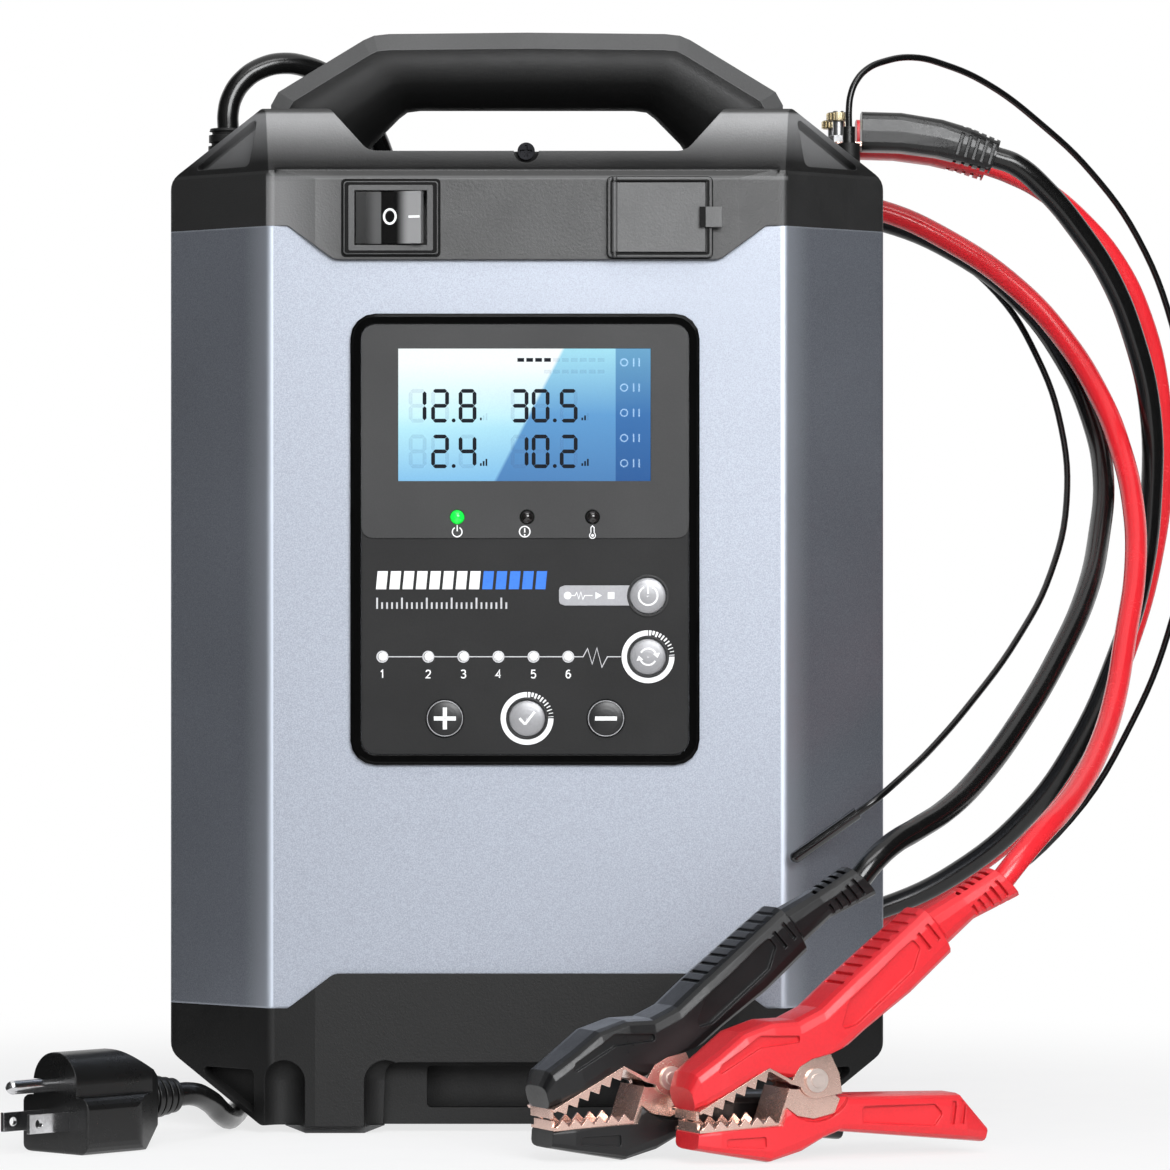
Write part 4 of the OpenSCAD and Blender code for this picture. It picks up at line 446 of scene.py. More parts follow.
RED = srgb(216, 38, 46)
looks = {
    "sleeve_metal": painted_metal(),
    "cap_dark": cap_plastic(),
    # grained_black gets painted shade in its hollows
    "base_dark": moulded("grained_black", srgb(18, 18, 18), 0.5, grain=1500, depth=0.3, hollow=20,
                         Specular_IOR_Level=0.32),
    "rubber_grey": moulded("foot_rubber", srgb(70, 70, 70), 0.75, grain=900, depth=0.4),
    "gloss_black": moulded("gloss_black", srgb(6, 6, 6), 0.06, grain=500, depth=0.01, edge=0.5, worn=2.2,
                           Specular_IOR_Level=0.16),
    "fascia_dark": moulded("fascia_dark", srgb(43, 43, 43), 0.36, grain=1800, depth=0.1, edge=0.2,
                           worn=1.3, Specular_IOR_Level=0.1),
    "fascia_grey": moulded("fascia_grey", srgb(60, 60, 60), 0.36, grain=1800, depth=0.1, edge=0.2,
                           worn=1.3, Specular_IOR_Level=0.18),
    "display": display(),
    "board_green": moulded("circuit_board", srgb(24, 88, 52), 0.4, grain=700, depth=0.1),
    "lamp_green": lamp("lamp_green", srgb(20, 190, 60), srgb(16, 222, 62), 0.95),
    "lamp_dark": lamp("lamp_dark", srgb(26, 24, 23), (0, 0, 0), 0.0),
    "lamp_white": lamp("lamp_white", srgb(240, 240, 240), srgb(240, 240, 235), 0.45),
    "button_silver": moulded("satin_silver", srgb(150, 150, 152), 0.36, grain=900, depth=0.03, edge=0.3,
                             worn=1.2, spread=0.05, Metallic=0.35),
    "button_black": moulded("gloss_key", srgb(18, 18, 19), 0.34, grain=700, depth=0.05, worn=2.0),
    "flap_grey": moulded("flap_grey", srgb(78, 78, 78), 0.48, grain=1500, Specular_IOR_Level=0.6),
    "steel": plated("steel", srgb(186, 186, 188), 0.34, brushed=(1, 1, 14)),
    "chrome": plated("bright_chrome", srgb(222, 222, 224), 0.14, depth=0.04),
    "aluminium": plated("aluminium", srgb(200, 202, 205), 0.3, brushed=(1, 8, 1)),
    "brass": plated("brass", srgb(200, 186, 152), 0.34),
    "copper": plated("copper_plate", srgb(236, 200, 186), 0.22, brushed=(1, 1, 5), depth=0.006, edge=0.2,
                     dull=0.92, metal=0.85),
    "transformer_core": moulded("lacquered_core", srgb(60, 52, 42), 0.45, grain=300, depth=0.3),
    "cord_black": moulded("moulded_black", srgb(16, 16, 16), 0.3, grain=900, depth=0.05, edge=0.5,
                          worn=1.8),
    "lead_red": moulded("moulded_red_boot", RED, 0.34, grain=900, depth=0.1, edge=0.5, worn=1.15,
                        spread=0.05),
    "clamp_black": moulded("clamp_black", srgb(20, 20, 21), 0.34, grain=1000, depth=0.06, edge=0.6,
                           worn=2.4, Specular_IOR_Level=0.4),
    "clamp_red": moulded("clamp_red", RED, 0.36, grain=1000, depth=0.12, edge=0.6, worn=1.12,
                         spread=0.05),
}
# Nodes whose look isn't that of their slot
own_looks = {
    "sensor_probe": moulded("probe_black", srgb(9, 9, 10), 0.12, grain=500, depth=0.01, edge=0.3, worn=2.0,
                            Specular_IOR_Level=0.9),
    "clamp_rivets": plated("rivet_steel", srgb(216, 200, 192), 0.4, depth=0.01, edge=0.2, dull=0.92,
                           metal=0.8),
    "handle_shell": moulded("handle_black", srgb(15, 15, 15), 0.42, grain=1500, depth=0.15, edge=0.5,
                            worn=1.4, rounding=7, Specular_IOR_Level=0.3),
    "housing_screws": plated("dark_screw", srgb(30, 30, 32), 0.4, depth=0.04),
    "switch_rocker": rocker_look(),
    "switch_frame": moulded("switch_frame", srgb(66, 66, 66), 0.42, grain=1500, depth=0.15, edge=0.3,
                            worn=1.5, Specular_IOR_Level=0.5),
}
jacket = {
    "black": rubbery("jacket_black", srgb(13, 13, 13), 0.2),
    "red": rubbery("jacket_red", RED, 0.22),
}
white_ink = inked("white_ink", srgb(232, 232, 232))
blue_ink = inked("blue_ink", srgb(64, 120, 214))
digit_ink = inked("display_dark", srgb(8, 14, 24))
# Black for strips of painted shade in gaps and grooves
gap_shade_ink = inked("gap_shade_black", srgb(10, 10, 10))
grey_ink = inked("grey_ink", srgb(190, 190, 192))
ghost_ink = faint("display_ghost", srgb(40, 70, 110), 0.16)
pale_ink = faint("display_pale", srgb(190, 225, 250), 0.26)
plate_look = moulded("start_plate", srgb(158, 158, 161), 0.32, grain=1300, depth=0.08, worn=1.3)

slots = {part["node"]: part["material_slot"] for part in frame["record"]["subparts"]}
for name, obj in nodes.items():
    obj.data.materials.clear()
    obj.data.materials.append(own_looks.get(name, looks[slots[name]]))


# ------------------------------------------------------------ cords
LEAD_D, CORD_D, SENSOR_D = 8, 7.9, 2.4


def curve(name, points, diameter, material):
    """A round cord with a smooth skin, through places in mm; its diameter is in metres."""
    data = bpy.data.curves.new(name, "CURVE")
    data.dimensions = "3D"
    data.bevel_depth = diameter / 2
    data.bevel_resolution = 6
    data.resolution_u = 6
    data.use_fill_caps = True
    spline = data.splines.new("BEZIER")
    spline.bezier_points.add(len(points) - 1)
    for knot, point in zip(spline.bezier_points, points):
        knot.co = m(*point)
        knot.handle_left_type = knot.handle_right_type = "AUTO"
    data.materials.append(material)
    obj = bpy.data.objects.new(name, data)
    bpy.context.scene.collection.objects.link(obj)
    return obj


# The clamps' rivets, the turn of the clamps towards the front, and where a lead leaves its clamp
PIVOT = {"red": (89.6, -187.5, 26.5), "black": (42.7, -179.5, 26.5)}
CLAMP_YAW = math.radians(24)
EXIT_ALONG, EXIT_UP = 73.95, 62.6
EXIT_ANGLE = math.radians(48.3)
# Where a lead leaves its boot, and the boot's slope there
BOOT_X, BOOT_Z = 168.2, 342.4
BOOT_SLOPE = math.radians(20)


def clamp_point(colour, along, up):
    x, y, z = PIVOT[colour]
    return (x + along * math.cos(CLAMP_YAW), y + along * math.sin(CLAMP_YAW), z + up)


def lead_start(y):
    beyond = (BOOT_X + LEAD_D * math.cos(BOOT_SLOPE), y, BOOT_Z - LEAD_D * math.sin(BOOT_SLOPE))
    return [(BOOT_X, y, BOOT_Z), beyond]


def lead_end(colour):
    before = clamp_point(colour, EXIT_ALONG + LEAD_D * math.cos(EXIT_ANGLE),
                         EXIT_UP + LEAD_D * math.sin(EXIT_ANGLE))
    return [before, clamp_point(colour, EXIT_ALONG, EXIT_UP)]


# The coil winds inwards on its upper layer and outwards on its lower one
COIL_X, COIL_Y = -40, 136
COIL_R, COIL_STEP = 47.5, 8.5
COIL_HIGH, COIL_LOW = 12.5, 4
COIL_TURNS, COIL_START = 2, -90
COIL_RINGS = 24                      # points for each turn
COIL_END = 2 * COIL_TURNS - 0.25     # the turn at which the cord leaves the coil
COIL_EXIT = 8                        # how far it runs straight on from there


def coil_point(turn):
    radius = COIL_R - COIL_STEP * (turn if turn <= COIL_TURNS else 2 * COIL_TURNS - turn)
    sunk = min(1, max(0, (turn - COIL_TURNS + 0.25) * 2))
    angle = math.radians(COIL_START + 360 * turn)
    return (COIL_X + radius * math.cos(angle), COIL_Y + radius * math.sin(angle),
            COIL_HIGH + (COIL_LOW - COIL_HIGH) * sunk)


mains_route = [
    (-109, 36, 355), (-109, 36, 361), (-107.5, 36.5, 367), (-103.5, 37.5, 373), (-97, 39, 377.5),
    (-89, 41.5, 379.5), (-80.5, 45, 378.5), (-72, 50, 375), (-64, 56, 368), (-57.5, 62.5, 358),
    (-52.5, 69, 346), (-49, 75, 331), (-48, 79.5, 314), (-52, 82, 290), (-61, 84, 256), (-72, 85, 216),
    (-83, 86, 170), (-91, 87, 122), (-94, 88, 84), (-92.5, 88, 56), (-88, 88, 38), (-79.5, 88, 24),
    (-68.5, 88, 15.5), (-57, 88, 12.5), (-48, 88, 12.5)]
coil_route = [coil_point(i / COIL_RINGS) for i in range(round(COIL_END * COIL_RINGS) + 1)]
coil_x, coil_y, coil_z = coil_route[-1]
PLUG_NECK = (-119, -128, 16)
PLUG_YAW = math.radians(43)
before_plug = (PLUG_NECK[0] + CORD_D * math.sin(PLUG_YAW), PLUG_NECK[1] + CORD_D * math.cos(PLUG_YAW),
               PLUG_NECK[2])
tail_route = [(coil_x, coil_y - COIL_EXIT, coil_z), (coil_x, coil_y - COIL_EXIT - CORD_D, coil_z)] + [
    (-89, 108, 4), (-94, 92, 4), (-99, 72, 4), (-101.5, 48, 4), (-101.5, 20, 4), (-101.5, -10, 4),
    (-101.5, -40, 4), (-102, -64, 4), (-103, -83, 4.6), (-105, -98, 8), (-108, -109, 12.4)] + [
    before_plug, PLUG_NECK]
black_route = lead_start(6) + [
    (187, 9, 330.5), (199, 14, 317), (211, 21, 300), (220.5, 29, 279), (227.5, 38, 253), (229, 47, 222),
    (226, 56, 190), (218, 63, 162), (204, 69, 130), (186, 74, 104), (160, 78, 82), (133, 79, 69),
    (108, 79, 63), (86, 79, 62), (62, 79, 67), (41, 79, 76), (22, 79, 88), (6, 79, 103), (-8, 79, 121),
    (-18, 80, 142), (-24, 83, 164), (-26.5, 86, 186), (-25.5, 88.5, 209), (-22, 89, 231),
    (-15, 89, 251), (-4, 89, 271), (11, 89, 289), (28, 89, 305), (46, 89, 318.5), (61, 89, 326.5),
    (74, 89, 328.9), (88, 89, 329.4), (104, 89, 329.5), (133, 89.5, 325), (160, 88, 313.5),
    (183.5, 83, 295.5), (200, 73, 272), (208.5, 58, 249), (210.5, 38, 228), (206.5, 14, 206),
    (199, -15, 185), (186.5, -43, 163), (171, -71, 141), (154.5, -97, 122), (141.5, -118, 111.5),
    (130.5, -132.5, 105.5), (121.8, -142, 100.9)] + lead_end("black")
red_route = lead_start(40) + [
    (187.5, 42, 334), (203, 46, 322), (216.5, 51, 306.5), (226.5, 57, 287), (233.5, 65, 262),
    (236, 73, 232), (233.5, 80, 203), (225.5, 85, 170), (212, 88, 138), (192, 89, 106), (163, 89, 81),
    (134, 89, 65), (110, 89, 59), (86, 89, 59), (62, 89, 64), (38, 89, 73), (16, 89, 85), (-3, 89, 101),
    (-18, 89, 119), (-31, 89, 141), (-39.5, 87.5, 163), (-43.5, 84.5, 186), (-43, 81, 210),
    (-38, 79.2, 234), (-29, 79, 257), (-16, 79, 279), (0, 79, 295), (20, 79, 309), (42, 79, 321),
    (60, 79, 327.6), (74, 79, 328.9), (88, 79, 330.5), (104, 79, 332), (131, 79.5, 328.5),
    (157.5, 77, 316.5), (182, 70, 298.5), (198.5, 60, 279), (210, 47, 258), (216, 30, 238),
    (218.5, 9, 216), (216.5, -15, 193), (210.5, -40, 170), (204, -66, 148), (196.5, -90, 132.5),
    (187.5, -114, 120), (178.4, -134.5, 111), (172.7, -144.5, 106.2), (167.3, -151, 101)] + lead_end("red")
sensor_route = [
    (114.9, -10, 352), (114.9, -10, 358), (115.6, -9.6, 363.5), (117.6, -8.6, 368.4),
    (121.5, -6.6, 372.8), (128, -3, 376), (138.5, 3, 378), (151, 11, 376), (167, 21, 370),
    (187, 34, 357), (207, 47, 340), (225, 58, 317), (239, 68, 285), (247, 77, 246), (246.8, 85, 206),
    (240, 91, 171), (227, 94, 138), (204, 96, 101), (172, 97, 74), (135, 97, 60), (110, 96.5, 56),
    (86, 96.5, 56), (61, 96.5, 61), (36, 96.5, 70), (14, 96.5, 83), (-5, 96.5, 99), (-20, 96.5, 117),
    (-31, 96.5, 138), (-39, 96.5, 161), (-42, 96.5, 186), (-41, 96.5, 212), (-37, 96.5, 237),
    (-29, 96.5, 259), (-17, 96.5, 280), (-1, 96.5, 296), (18, 96.5, 309), (40, 96.5, 319),
    (58, 96.5, 324.6), (74, 96.5, 325.8), (88, 96.5, 326.4), (104, 96.5, 327.5), (133, 97, 324.5),
    (156, 96.5, 314.5), (176, 91.5, 298), (190, 81, 274), (197.5, 64, 247), (197.5, 43, 219),
    (189.5, 18, 193), (175, -12, 169.5), (155.5, -44, 146.5), (139.5, -68, 130.5), (131.5, -81, 123.9),
    (125.5, -90.5, 119.3), (121.2, -95.6, 116), (117.88, -97.5, 113.49), (113, -97.5, 110)]

# The leads' own ends lie in their boots and clamps
mains = curve("mains_flex", mains_route + coil_route + tail_route, CORD_D * MM, jacket["black"])
black_lead = curve("black_flex", black_route, LEAD_D * MM, jacket["black"])
red_lead = curve("red_flex", red_route, LEAD_D * MM, jacket["red"])
sensor_lead = curve("sensor_flex", sensor_route, SENSOR_D * MM, jacket["black"])
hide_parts("mains_cord", "mains_coil", "mains_tail")
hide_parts("black_lead")
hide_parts("red_lead")
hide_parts("sensor_lead")
for obj, name in ((mains, "cord_black"), (black_lead, "cord_black"), (sensor_lead, "cord_black"),
                  (red_lead, "lead_red")):
    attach(obj, "charger")


# ------------------------------------------------------------ printed marks
RING_STEP = 7.5      # degrees between the points of a ring
STROKE_STEP = 0.4    # distance between the points of a line on a domed surface


def around(x, z, r, start, end, steps):
    """Places on a circle from one angle to another in degrees; a full circle doesn't repeat its first one."""
    count = steps if abs(end - start) >= 360 else steps + 1
    angles = [math.radians(start + (end - start) * i / steps) for i in range(count)]
    return [(x + r * math.cos(a), z + r * math.sin(a)) for a in angles]


def rounded(x, z, half_w, half_h, r):
    """Places round a rectangle with rounded corners."""
    places = []
    for right, up, start in ((1, 1, 0), (-1, 1, 90), (-1, -1, 180), (1, -1, 270)):
        places += around(x + right * (half_w - r), z + up * (half_h - r), r, start, start + 90, 3)
    return places


def heading(start, end):
    return Vector((end[0] - start[0], end[1] - start[1])).normalized()


class Marks:
    """Thin raised shapes on a surface facing the front; outlines in mm in X and Z, anticlockwise."""

    def __init__(self, surface, thick=0.05):
        self.surface, self.thick = surface, thick
        self.points, self.faces = [], []

    def point(self, x, z, lift):
        self.points.append(m(x, self.surface(x, z) - lift, z))
        return len(self.points) - 1

    def row(self, places, lift):
        return [self.point(x, z, lift) for x, z in places]

    def shape(self, outline):
        front = self.row(outline, self.thick)
        back = self.row(outline, 0)
        self.faces.append(front)
        for i, here in enumerate(front):
            j = (i + 1) % len(front)
            self.faces.append((front[j], here, back[i], back[j]))

    def strip(self, left, right, closed=False):
        """A band between two rows of places, the left row on the left hand when walking along it."""
        left_top, left_foot = self.row(left, self.thick), self.row(left, 0)
        right_top, right_foot = self.row(right, self.thick), self.row(right, 0)
        count = len(left)
        for i in range(count if closed else count - 1):
            j = (i + 1) % count
            self.faces += [(right_top[i], right_top[j], left_top[j], left_top[i]),
                           (left_top[i], left_top[j], left_foot[j], left_foot[i]),
                           (right_foot[i], right_foot[j], right_top[j], right_top[i])]

    def bar(self, x0, z0, x1, z1):
        self.shape([(x0, z0), (x1, z0), (x1, z1), (x0, z1)])

    def line(self, route, width, closed=False):
        """A line of even width along a route, mitred at its bends."""
        left, right, last = [], [], len(route) - 1
        for i, (x, z) in enumerate(route):
            following = route[(i + 1) % len(route)]
            after = heading(route[i], following) if i < last or closed else heading(route[i - 1], route[i])
            before = heading(route[i - 1], route[i]) if i or closed else after
            along = (before + after).normalized()
            reach = width / 2 / max(0.5, along.dot(before))
            left.append((x - along.y * reach, z + along.x * reach))
            right.append((x + along.y * reach, z - along.x * reach))
        self.strip(left, right, closed)

    def stroke(self, start, end, width):
        """A straight line in short steps, to follow a domed surface."""
        steps = max(1, round(math.dist(start, end) / STROKE_STEP))
        shares = [i / steps for i in range(steps + 1)]
        self.line([(start[0] + (end[0] - start[0]) * s, start[1] + (end[1] - start[1]) * s) for s in shares],
                  width)

    def frame(self, x, z, outer, inner, corner):
        """A flat ring between two rounded rectangles, given by their half sizes."""
        self.strip(rounded(x, z, *inner, corner * 0.6), rounded(x, z, *outer, corner), True)

    def ring(self, x, z, inner, outer, start=0, end=360):
        """A ring, or a part of one, between two radii."""
        steps = max(3, round(abs(end - start) / RING_STEP))
        rows = [around(x, z, r, start, end, steps) for r in (inner, outer)]
        self.strip(*rows, abs(end - start) >= 360)

    def disc(self, x, z, r, steps):
        self.shape(around(x, z, r, 0, 360, steps))

    def place(self, name, material, body, slot):
        """The marks as one object that rides with a body."""
        data = bpy.data.meshes.new(name)
        data.from_pydata(self.points, [], self.faces)
        data.materials.append(material)
        obj = bpy.data.objects.new(name, data)
        bpy.context.scene.collection.objects.link(obj)
        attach(obj, body)


def flat(y):
    return lambda x, z: y


# y of the lower fascia, of the raised upper one and of the display window
LOWER, UPPER, GLASS = FRONT - 1.8, FRONT - 2.3, FRONT - 2.2

# The bars of each figure: a at the top, then clockwise to f, and g in the middle
SEGMENTS = {"0": "abcdef", "1": "bc", "2": "abged", "3": "abgcd", "4": "fgbc", "5": "afgcd", "6": "afgedc",
            "7": "abc", "8": "abcdefg", "9": "abcdfg", " ": ""}
FIGURE_W, FIGURE_H = 6.1, 11.5
BAR_T, BAR_GAP = 1.32, 0.12


def pointed_bar(x0, z0, x1, z1):
    """A level or upright bar from its one tip to the other."""
    along, up = (BAR_T / 2, 0) if z0 == z1 else (0, BAR_T / 2)
    return [(x0, z0), (x0 + along + up, z0 + up - along), (x1 - along + up, z1 - up - along),
            (x1, z1), (x1 - along - up, z1 - up + along), (x0 + along - up, z0 + up + along)]


def digit(lit, ghost, x, z, figure):
    """Seven bars with pointed ends, those of the figure lit and the others faint."""
    low, middle, high = z + BAR_T / 2, z + FIGURE_H / 2, z + FIGURE_H - BAR_T / 2
    left, right = x + BAR_T / 2, x + FIGURE_W - BAR_T / 2
    start, end = x + BAR_GAP + BAR_T * 0.4, x + FIGURE_W - BAR_GAP - BAR_T * 0.4
    bars = {
        "a": (start, high, end, high),
        "g": (start, middle, end, middle),
        "d": (start, low, end, low),
        "f": (left, middle + BAR_GAP, left, high - BAR_GAP),
        "b": (right, middle + BAR_GAP, right, high - BAR_GAP),
        "e": (left, low + BAR_GAP, left, middle - BAR_GAP),
        "c": (right, low + BAR_GAP, right, middle - BAR_GAP),
    }
    for letter, tips in bars.items():
        (lit if letter in SEGMENTS[figure] else ghost).shape(pointed_bar(*tips))


def display_marks():
    """Four values in figures with stepped bars beside them, two rows of charge cells, and round signs."""
    lit, ghost, pale = Marks(flat(GLASS), 0.03), Marks(flat(GLASS), 0.02), Marks(flat(GLASS), 0.03)
    left_cells, left_dot = (-40.5, -32.8, -23.4), -25.1
    right_cells, right_dot = (-5.6, 1.6, 11.2), 9.5
    for z, left_value, right_value in ((243.5, "12.8", "30.5"), (227.9, " 2.4", "10.2")):
        for text, cells, dot in ((left_value, left_cells, left_dot), (right_value, right_cells, right_dot)):
            for figure, x in zip(text.replace(".", ""), cells):
                digit(lit, ghost, x, z, figure)
            lit.disc(dot, z + 0.75, 0.68, 16)
    cell_w, lit_cells = 2.3, 4
    for i in range(10):
        x = -3.3 + i * 3.05
        (lit if i < lit_cells else ghost).bar(x, 264.3, x + cell_w, 265.6)
        if i > 2:
            ghost.bar(x, 260.3, x + cell_w, 261.6)
    for level, (x, z) in enumerate(((-16.1, 244.3), (18.6, 244.3), (-16.1, 228.7), (18.6, 228.7))):
        for i in range(3):
            step = x + i * 0.95
            (lit if i <= level else ghost).bar(step, z, step + 0.6, z + 0.9 + i * 0.75)
    for i in range(5):
        z = 264.1 - i * 8.62
        pale.ring(33.2, z, 0.95, 1.4)
        for x in (36.2, 38.1):
            pale.bar(x, z - 1.4, x + 0.5, z + 1.4)
    lit.place("display_figures", digit_ink, "charger", "cord_black")
    ghost.place("display_faint_bars", ghost_ink, "charger", "cord_black")
    pale.place("display_signs", pale_ink, "charger", "display")


def lamp_signs():
    """Plain signs below the three round lamps: power, caution and a thermometer."""
    signs = Marks(flat(UPPER))
    power_x, caution_x, heat_x = -23.9, -0.8, 22.4
    signs.ring(power_x, 206.1, 1.45, 1.85, 118, 422)
    signs.bar(power_x - 0.2, 206.3, power_x + 0.2, 208.5)
    signs.ring(caution_x, 206.2, 1.6, 2.0)
    signs.bar(caution_x - 0.22, 205.9, caution_x + 0.22, 207.4)
    signs.disc(caution_x, 205.1, 0.3, 12)
    stem = [(-0.55, 205.6), (-0.55, 207.6), (0, 208.2), (0.55, 207.6), (0.55, 205.6)]
    signs.line([(heat_x + x, z) for x, z in stem], 0.3)
    signs.ring(heat_x, 204.9, 0.85, 1.15, 120, 420)
    signs.disc(heat_x, 204.9, 0.5, 12)
    signs.place("lamp_signs", white_ink, "charger", "lamp_white")


# The buttons' middles and radii, how far their rims stand before the front face, and their domes' height
BUTTONS = {
    "start_button": (41.4, 184.3, 6.1),
    "mode_button": (41.4, 163.4, 6.1),
    "set_button": (0, 142.3, 6.1),
    "plus_button": (-28.1, 142.3, 6.3),
    "minus_button": (27, 142.3, 6.3),
}
RIM_OUT, DOME = 2.5, 0.9
# The mode lamps
LAMP_Z = 163.4
LAMP_XS = (-49.5, -33.8, -21.8, -9.8, 2.2, 14.1)
# The small digits under the mode lamps, as strokes in a box one wide and one high
DIGITS = {
    "1": [[(0.2, 0.78), (0.55, 1), (0.55, 0)]],
    "2": [[(0.05, 0.78), (0.18, 0.95), (0.5, 1), (0.82, 0.93), (0.92, 0.74), (0.82, 0.52), (0.05, 0),
           (0.95, 0)]],
    "3": [[(0.08, 0.9), (0.3, 1), (0.65, 1), (0.88, 0.88), (0.88, 0.66), (0.68, 0.53), (0.4, 0.52)],
          [(0.68, 0.53), (0.94, 0.38), (0.94, 0.15), (0.7, 0), (0.3, 0), (0.05, 0.12)]],
    "4": [[(0.72, 0), (0.72, 1), (0.02, 0.3), (0.98, 0.3)]],
    "5": [[(0.88, 1), (0.18, 1), (0.12, 0.56), (0.55, 0.64), (0.9, 0.48), (0.92, 0.2), (0.68, 0), (0.28, 0),
           (0.05, 0.12)]],
    "6": [[(0.86, 0.93), (0.55, 1), (0.2, 0.85), (0.08, 0.5), (0.1, 0.18), (0.35, 0), (0.68, 0), (0.92, 0.2),
           (0.9, 0.44), (0.66, 0.6), (0.35, 0.58), (0.1, 0.4)]],
}
DIGIT_W, DIGIT_H, DIGIT_Z = 1.7, 2.6, 156.2


def panel_print():
    """The charge bar with its scale, the row of mode lamps with digits, and the rings of dashes."""
    white, grey, blue = Marks(flat(LOWER)), Marks(flat(LOWER)), Marks(flat(LOWER))
    cells, white_cells = 13, 8
    for i in range(cells):
        x = -51.7 + i * 4.54
        outline = [(x, 186.5), (x + 3.5, 186.5), (x + 4.1, 192.7), (x + 0.6, 192.7)]
        (white if i < white_cells else blue).shape(outline)
    ticks, long_tick = 27, 5
    for i in range(ticks):
        x = -51.6 + i * 1.7
        grey.bar(x, 179.8, x + 0.6, 183.6 if i % long_tick == 0 else 182)
    thin = 0.34
    for x, following in zip(LAMP_XS, LAMP_XS[1:]):
        grey.line([(x + 2, LAMP_Z), (following - 2, LAMP_Z)], thin)
    grey.line([(16.1, LAMP_Z), (19.2, LAMP_Z), (20.7, 166.2), (22.3, 160.9), (23.9, 166.4), (25.6, 159.8),
               (27.5, LAMP_Z), (32.1, LAMP_Z)], thin)
    for number, x in enumerate(LAMP_XS, 1):
        for stroke in DIGITS[str(number)]:
            white.line([(x - DIGIT_W / 2 + right * DIGIT_W, DIGIT_Z + up * DIGIT_H) for right, up in stroke],
                       0.42)
        grey.ring(x, LAMP_Z, 1.55, 2.05)
    for name in ("mode_button", "set_button"):
        x, z, _ = BUTTONS[name]
        white.ring(x, z, 7.25, 9.05, 90, 360)
        # Dashes that grow longer, with every other one shorter towards the button
        for i in range(11):
            middle, half = 4 + i * 8.1, 0.7 + 2.3 * i / 10
            white.ring(x, z, 7.6 if i % 2 else 7.25, 9.05, middle - half, middle + half)
    white.place("panel_white_print", white_ink, "charger", "lamp_white")
    grey.place("panel_grey_print", grey_ink, "charger", "button_silver")
    blue.place("panel_blue_print", blue_ink, "charger", "display")


def button_shadow_rings():
    """Painted shadow round the mode, set and start buttons, as low black rings."""
    shadow_rings = Marks(flat(LOWER), 0.45)
    for name, outer in (("mode_button", 7.1), ("set_button", 7.1), ("start_button", 7.2)):
        x, z, _ = BUTTONS[name]
        shadow_rings.ring(x, z, 6.35, outer)
    shadow_rings.place("button_shadow_rings", looks["button_black"], "charger", "button_black")


def start_plate():
    """The plate beside the start button, with a lamp, a pulse, a play sign and a stop sign."""
    thick, z = 0.35, 184.35
    plate = Marks(flat(LOWER), thick)
    plate.shape([(12.8, 180.9), (35.2, 180.9), (35.2, 187.8), (12.8, 187.8), (11.3, 187.2), (10.9, 186.2),
                 (10.9, 182.5), (11.3, 181.5)])
    plate.place("start_plate", plate_look, "charger", "button_silver")
    signs = Marks(flat(LOWER - thick))
    signs.disc(13.9, z, 1.3, 20)
    signs.line([(15.2, z), (16.4, z), (17, 185.4), (17.7, 183.2), (18.4, 185.6), (19.1, 183), (19.7, z),
                (22.4, z)], 0.3)
    signs.shape([(23.4, 183.1), (25.6, z), (23.4, 185.6)])
    signs.bar(27.6, 183.2, 29.9, 185.5)
    signs.place("start_signs", white_ink, "charger", "lamp_white")


def domed(centre_x, centre_z, r):
    """The front of a round button: highest in its middle."""
    def surface(x, z):
        out = ((x - centre_x) ** 2 + (z - centre_z) ** 2) / r ** 2
        return FRONT - RIM_OUT - DOME * math.sqrt(max(0, 1 - out))
    return surface


def start_sign(sign, x, z):
    sign.ring(x, z, 2.9, 3.5, 115, 425)
    sign.stroke((x, z + 0.6), (x, z + 4.3), 0.62)


def mode_sign(sign, x, z):
    """Two arrows that follow each other round."""
    sign.ring(x, z, 2.5, 3.1, 20, 150)
    sign.ring(x, z, 2.5, 3.1, 200, 330)
    sign.shape([(x + 1.6, z + 1), (x + 3.2, z - 0.4), (x + 4, z + 1.4)])
    sign.shape([(x - 1.6, z - 1), (x - 3.2, z + 0.4), (x - 4, z - 1.4)])


def set_sign(sign, x, z):
    """A tick."""
    sign.stroke((x - 2.6, z + 0.1), (x - 0.7, z - 2), 0.85)
    sign.stroke((x - 0.7, z - 2), (x + 2.6, z + 2.3), 0.85)


def minus_sign(sign, x, z):
    sign.stroke((x - 3.75, z), (x + 3.75, z), 1.4)


def plus_sign(sign, x, z):
    minus_sign(sign, x, z)
    sign.stroke((x, z + 3.75), (x, z - 3.75), 1.4)


def button_signs():
    """A white sign on each button, and a bright rim round the plus and minus keys."""
    signs = {"start_button": start_sign, "mode_button": mode_sign, "set_button": set_sign,
             "plus_button": plus_sign, "minus_button": minus_sign}
    for name, (x, z, r) in BUTTONS.items():
        sign = Marks(domed(x, z, r), 0.06)
        signs[name](sign, x, z)
        if name in ("plus_button", "minus_button"):
            rim = Marks(flat(FRONT - 2.6), 0.3)
            rim.ring(x, z, 5.85, 6.2)
            rim.place(name + "_rim", looks["button_silver"], name, "chrome")
        sign.place(name + "_sign", white_ink, name, "lamp_white")


# Middles of the switch and of the socket cover, and y of the apron that carries them
SWITCH, SOCKET = (-46.6, 313.5), (45.4, 313.6)
APRON = FRONT - 2.5


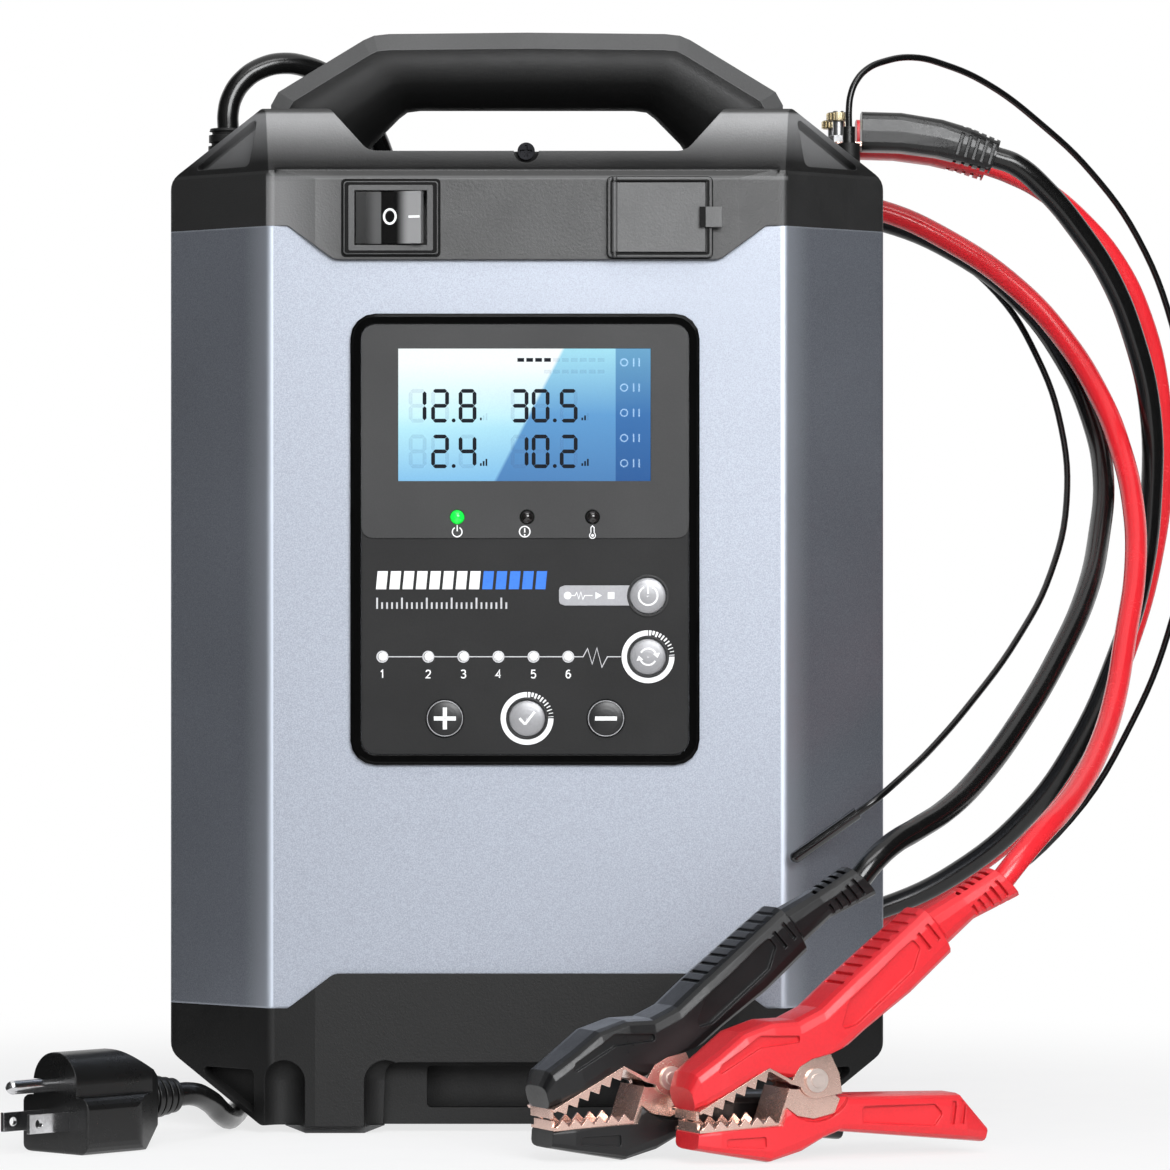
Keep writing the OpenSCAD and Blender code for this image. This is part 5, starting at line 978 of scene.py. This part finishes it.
def seals():
    """Painted shade as dark strips: in the gaps round the switch and the socket cover, on the switch frame
    round the rocker, and in the groove of the cover's tab.
    """
    frame_shade = Marks(flat(APRON - 1.5), 0.12)
    frame_shade.frame(*SWITCH, (15.8, 12.15), (14.45, 11.2), 0.9)
    frame_shade.place("switch_frame_shade", gap_shade_ink, "charger", "gloss_black")
    outline = Marks(flat(APRON), 0.1)
    outline.frame(*SWITCH, (17, 13.4), (16.15, 12.5), 1.4)
    outline.frame(*SOCKET, (18.25, 14.1), (17.85, 13.75), 1.8)
    outline.place("switch_and_cover_gaps", gap_shade_ink, "charger", "gloss_black")
    gap = Marks(flat(APRON - 2.6), 0.1)
    gap.frame(*SOCKET, (16.95, 12.85), (16.1, 12.2), 0.8)
    gap.place("cover_gap_shade", gap_shade_ink, "charger", "gloss_black")
    groove = Marks(flat(APRON - 4.1), 0.08)
    groove.bar(SOCKET[0] + 13.5, SOCKET[1] - 3.5, SOCKET[0] + 15.6, SOCKET[1] + 3.5)
    groove.place("tab_groove", gap_shade_ink, "flap", "gloss_black")


# The rocker's right wing slopes forwards to the right: where it starts, and its rise for each mm
WING_X, WING_OUT, WING_SLOPE = -49.88, 2.97, 0.3328


def rocker_signs():
    """0 and I on the rocker's right wing."""
    signs = Marks(lambda x, z: FRONT - WING_OUT - WING_SLOPE * (x - WING_X), 0.06)
    oval = [(-46.9 + 2 * right, 313.9 + 2.45 * up) for right, up in around(0, 0, 1, 0, 360, 36)]
    signs.line(oval, 0.75, True)
    signs.bar(-40.5, 313.3, -36.7, 314.1)
    signs.place("rocker_signs", white_ink, "rocker", "lamp_white")


display_marks()
lamp_signs()
panel_print()
button_shadow_rings()
start_plate()
button_signs()
seals()
rocker_signs()


# ------------------------------------------------------------ floor and light, in metres
def plane(name, corners, material):
    data = bpy.data.meshes.new(name)
    data.from_pydata([Vector(c) for c in corners], [], [(0, 1, 2, 3)])
    data.materials.append(material)
    obj = bpy.data.objects.new(name, data)
    bpy.context.scene.collection.objects.link(obj)
    return obj


def floor_look():
    """Pale floor that keeps the shadow near the object and fades into the white background."""
    look = material("studio_floor")
    colour = look.mix(look.vary(look.noise(40)), (0.78, 0.78, 0.79), (0.82, 0.82, 0.82))
    lit = look.new("BsdfDiffuse", Color=colour)
    white = look.new("Emission", Color=(1, 1, 1), Strength=1.0)
    fade = look.span(look.vector("LENGTH", look.place), 0.12, 0.55, 0.76, 1.0, smooth=True)
    return look.blend(look.times(look.seen_directly(), fade), lit, white)


def studio_world():
    """A dim, cool sky that lights the object and is seen as plain white."""
    world = bpy.data.worlds.new("studio")
    look = Look(world, "OutputWorld")
    dim = look.new("Background", Color=(0.86, 0.9, 1.0), Strength=0.22)
    white = look.new("Background", Color=(1, 1, 1), Strength=1.0)
    return look.blend(look.seen_directly(), dim, white)


def soft_light(name, place, aim, size, power, colour=(1, 1, 1)):
    """An area light that the camera doesn't see, its power in watts."""
    data = bpy.data.lights.new(name, "AREA")
    data.shape = "RECTANGLE"
    data.size, data.size_y = size
    data.energy = power
    data.color = colour
    obj = bpy.data.objects.new(name, data)
    bpy.context.scene.collection.objects.link(obj)
    obj.location = place
    obj.rotation_euler = (Vector(aim) - Vector(place)).to_track_quat("-Z", "Y").to_euler()
    obj.visible_camera = False


def dark_flag(name, corners, grey):
    """A studio flag that only reflections meet: it deepens the sides of glossy and metal pieces."""
    look = material(name)
    uneven = look.vary(look.noise(1.5, 2), grey * 0.8, grey * 1.2)
    dark = look.show(look.new("Emission", Color=(1, 1, 1), Strength=uneven))
    obj = plane(name, corners, dark)
    obj.visible_camera = obj.visible_diffuse = obj.visible_shadow = obj.visible_transmission = False


def side_flag(name, x, grey):
    dark_flag(name, [(x, -2.6, -0.2), (x, 0.9, -0.2), (x, 0.9, 2.4), (x, -2.6, 2.4)], grey)


def floor_card(name, x0, x1, grey):
    """A dark card just above the floor, beside the object."""
    dark_flag(name, [(x0, -2.6, 0.002), (x1, -2.6, 0.002), (x1, 0.3, 0.002), (x0, 0.3, 0.002)], grey)


bpy.context.scene.world = studio_world()
plane("floor", [(-8, -8, 0), (8, -8, 0), (8, 8, 0), (-8, 8, 0)], floor_look())
side_flag("left_flag", -1.3, 0.05)
side_flag("right_flag", 1.3, 0.03)
dark_flag("front_flag", [(-1.3, -3.2, -0.2), (1.3, -3.2, -0.2), (1.3, -3.2, 3), (-1.3, -3.2, 3)], 0.08)
floor_card("left_card", -1.3, -0.21, 0.05)
floor_card("right_card", 0.3, 1.3, 0.03)
soft_light("key", (0.6, -2.4, 1.05), (0, 0, 0.2), (1.6, 0.9), 62, (0.98, 0.99, 1.0))
soft_light("upper", (0.2, -1.2, 1.7), (0, 0, 0.25), (1.2, 0.5), 10)
soft_light("left_strip", (-1.5, -1.9, 0.6), (0, 0, 0.2), (0.25, 1.4), 9)
soft_light("right_strip", (1.5, -1.9, 0.6), (0, 0, 0.2), (0.2, 1.4), 5)
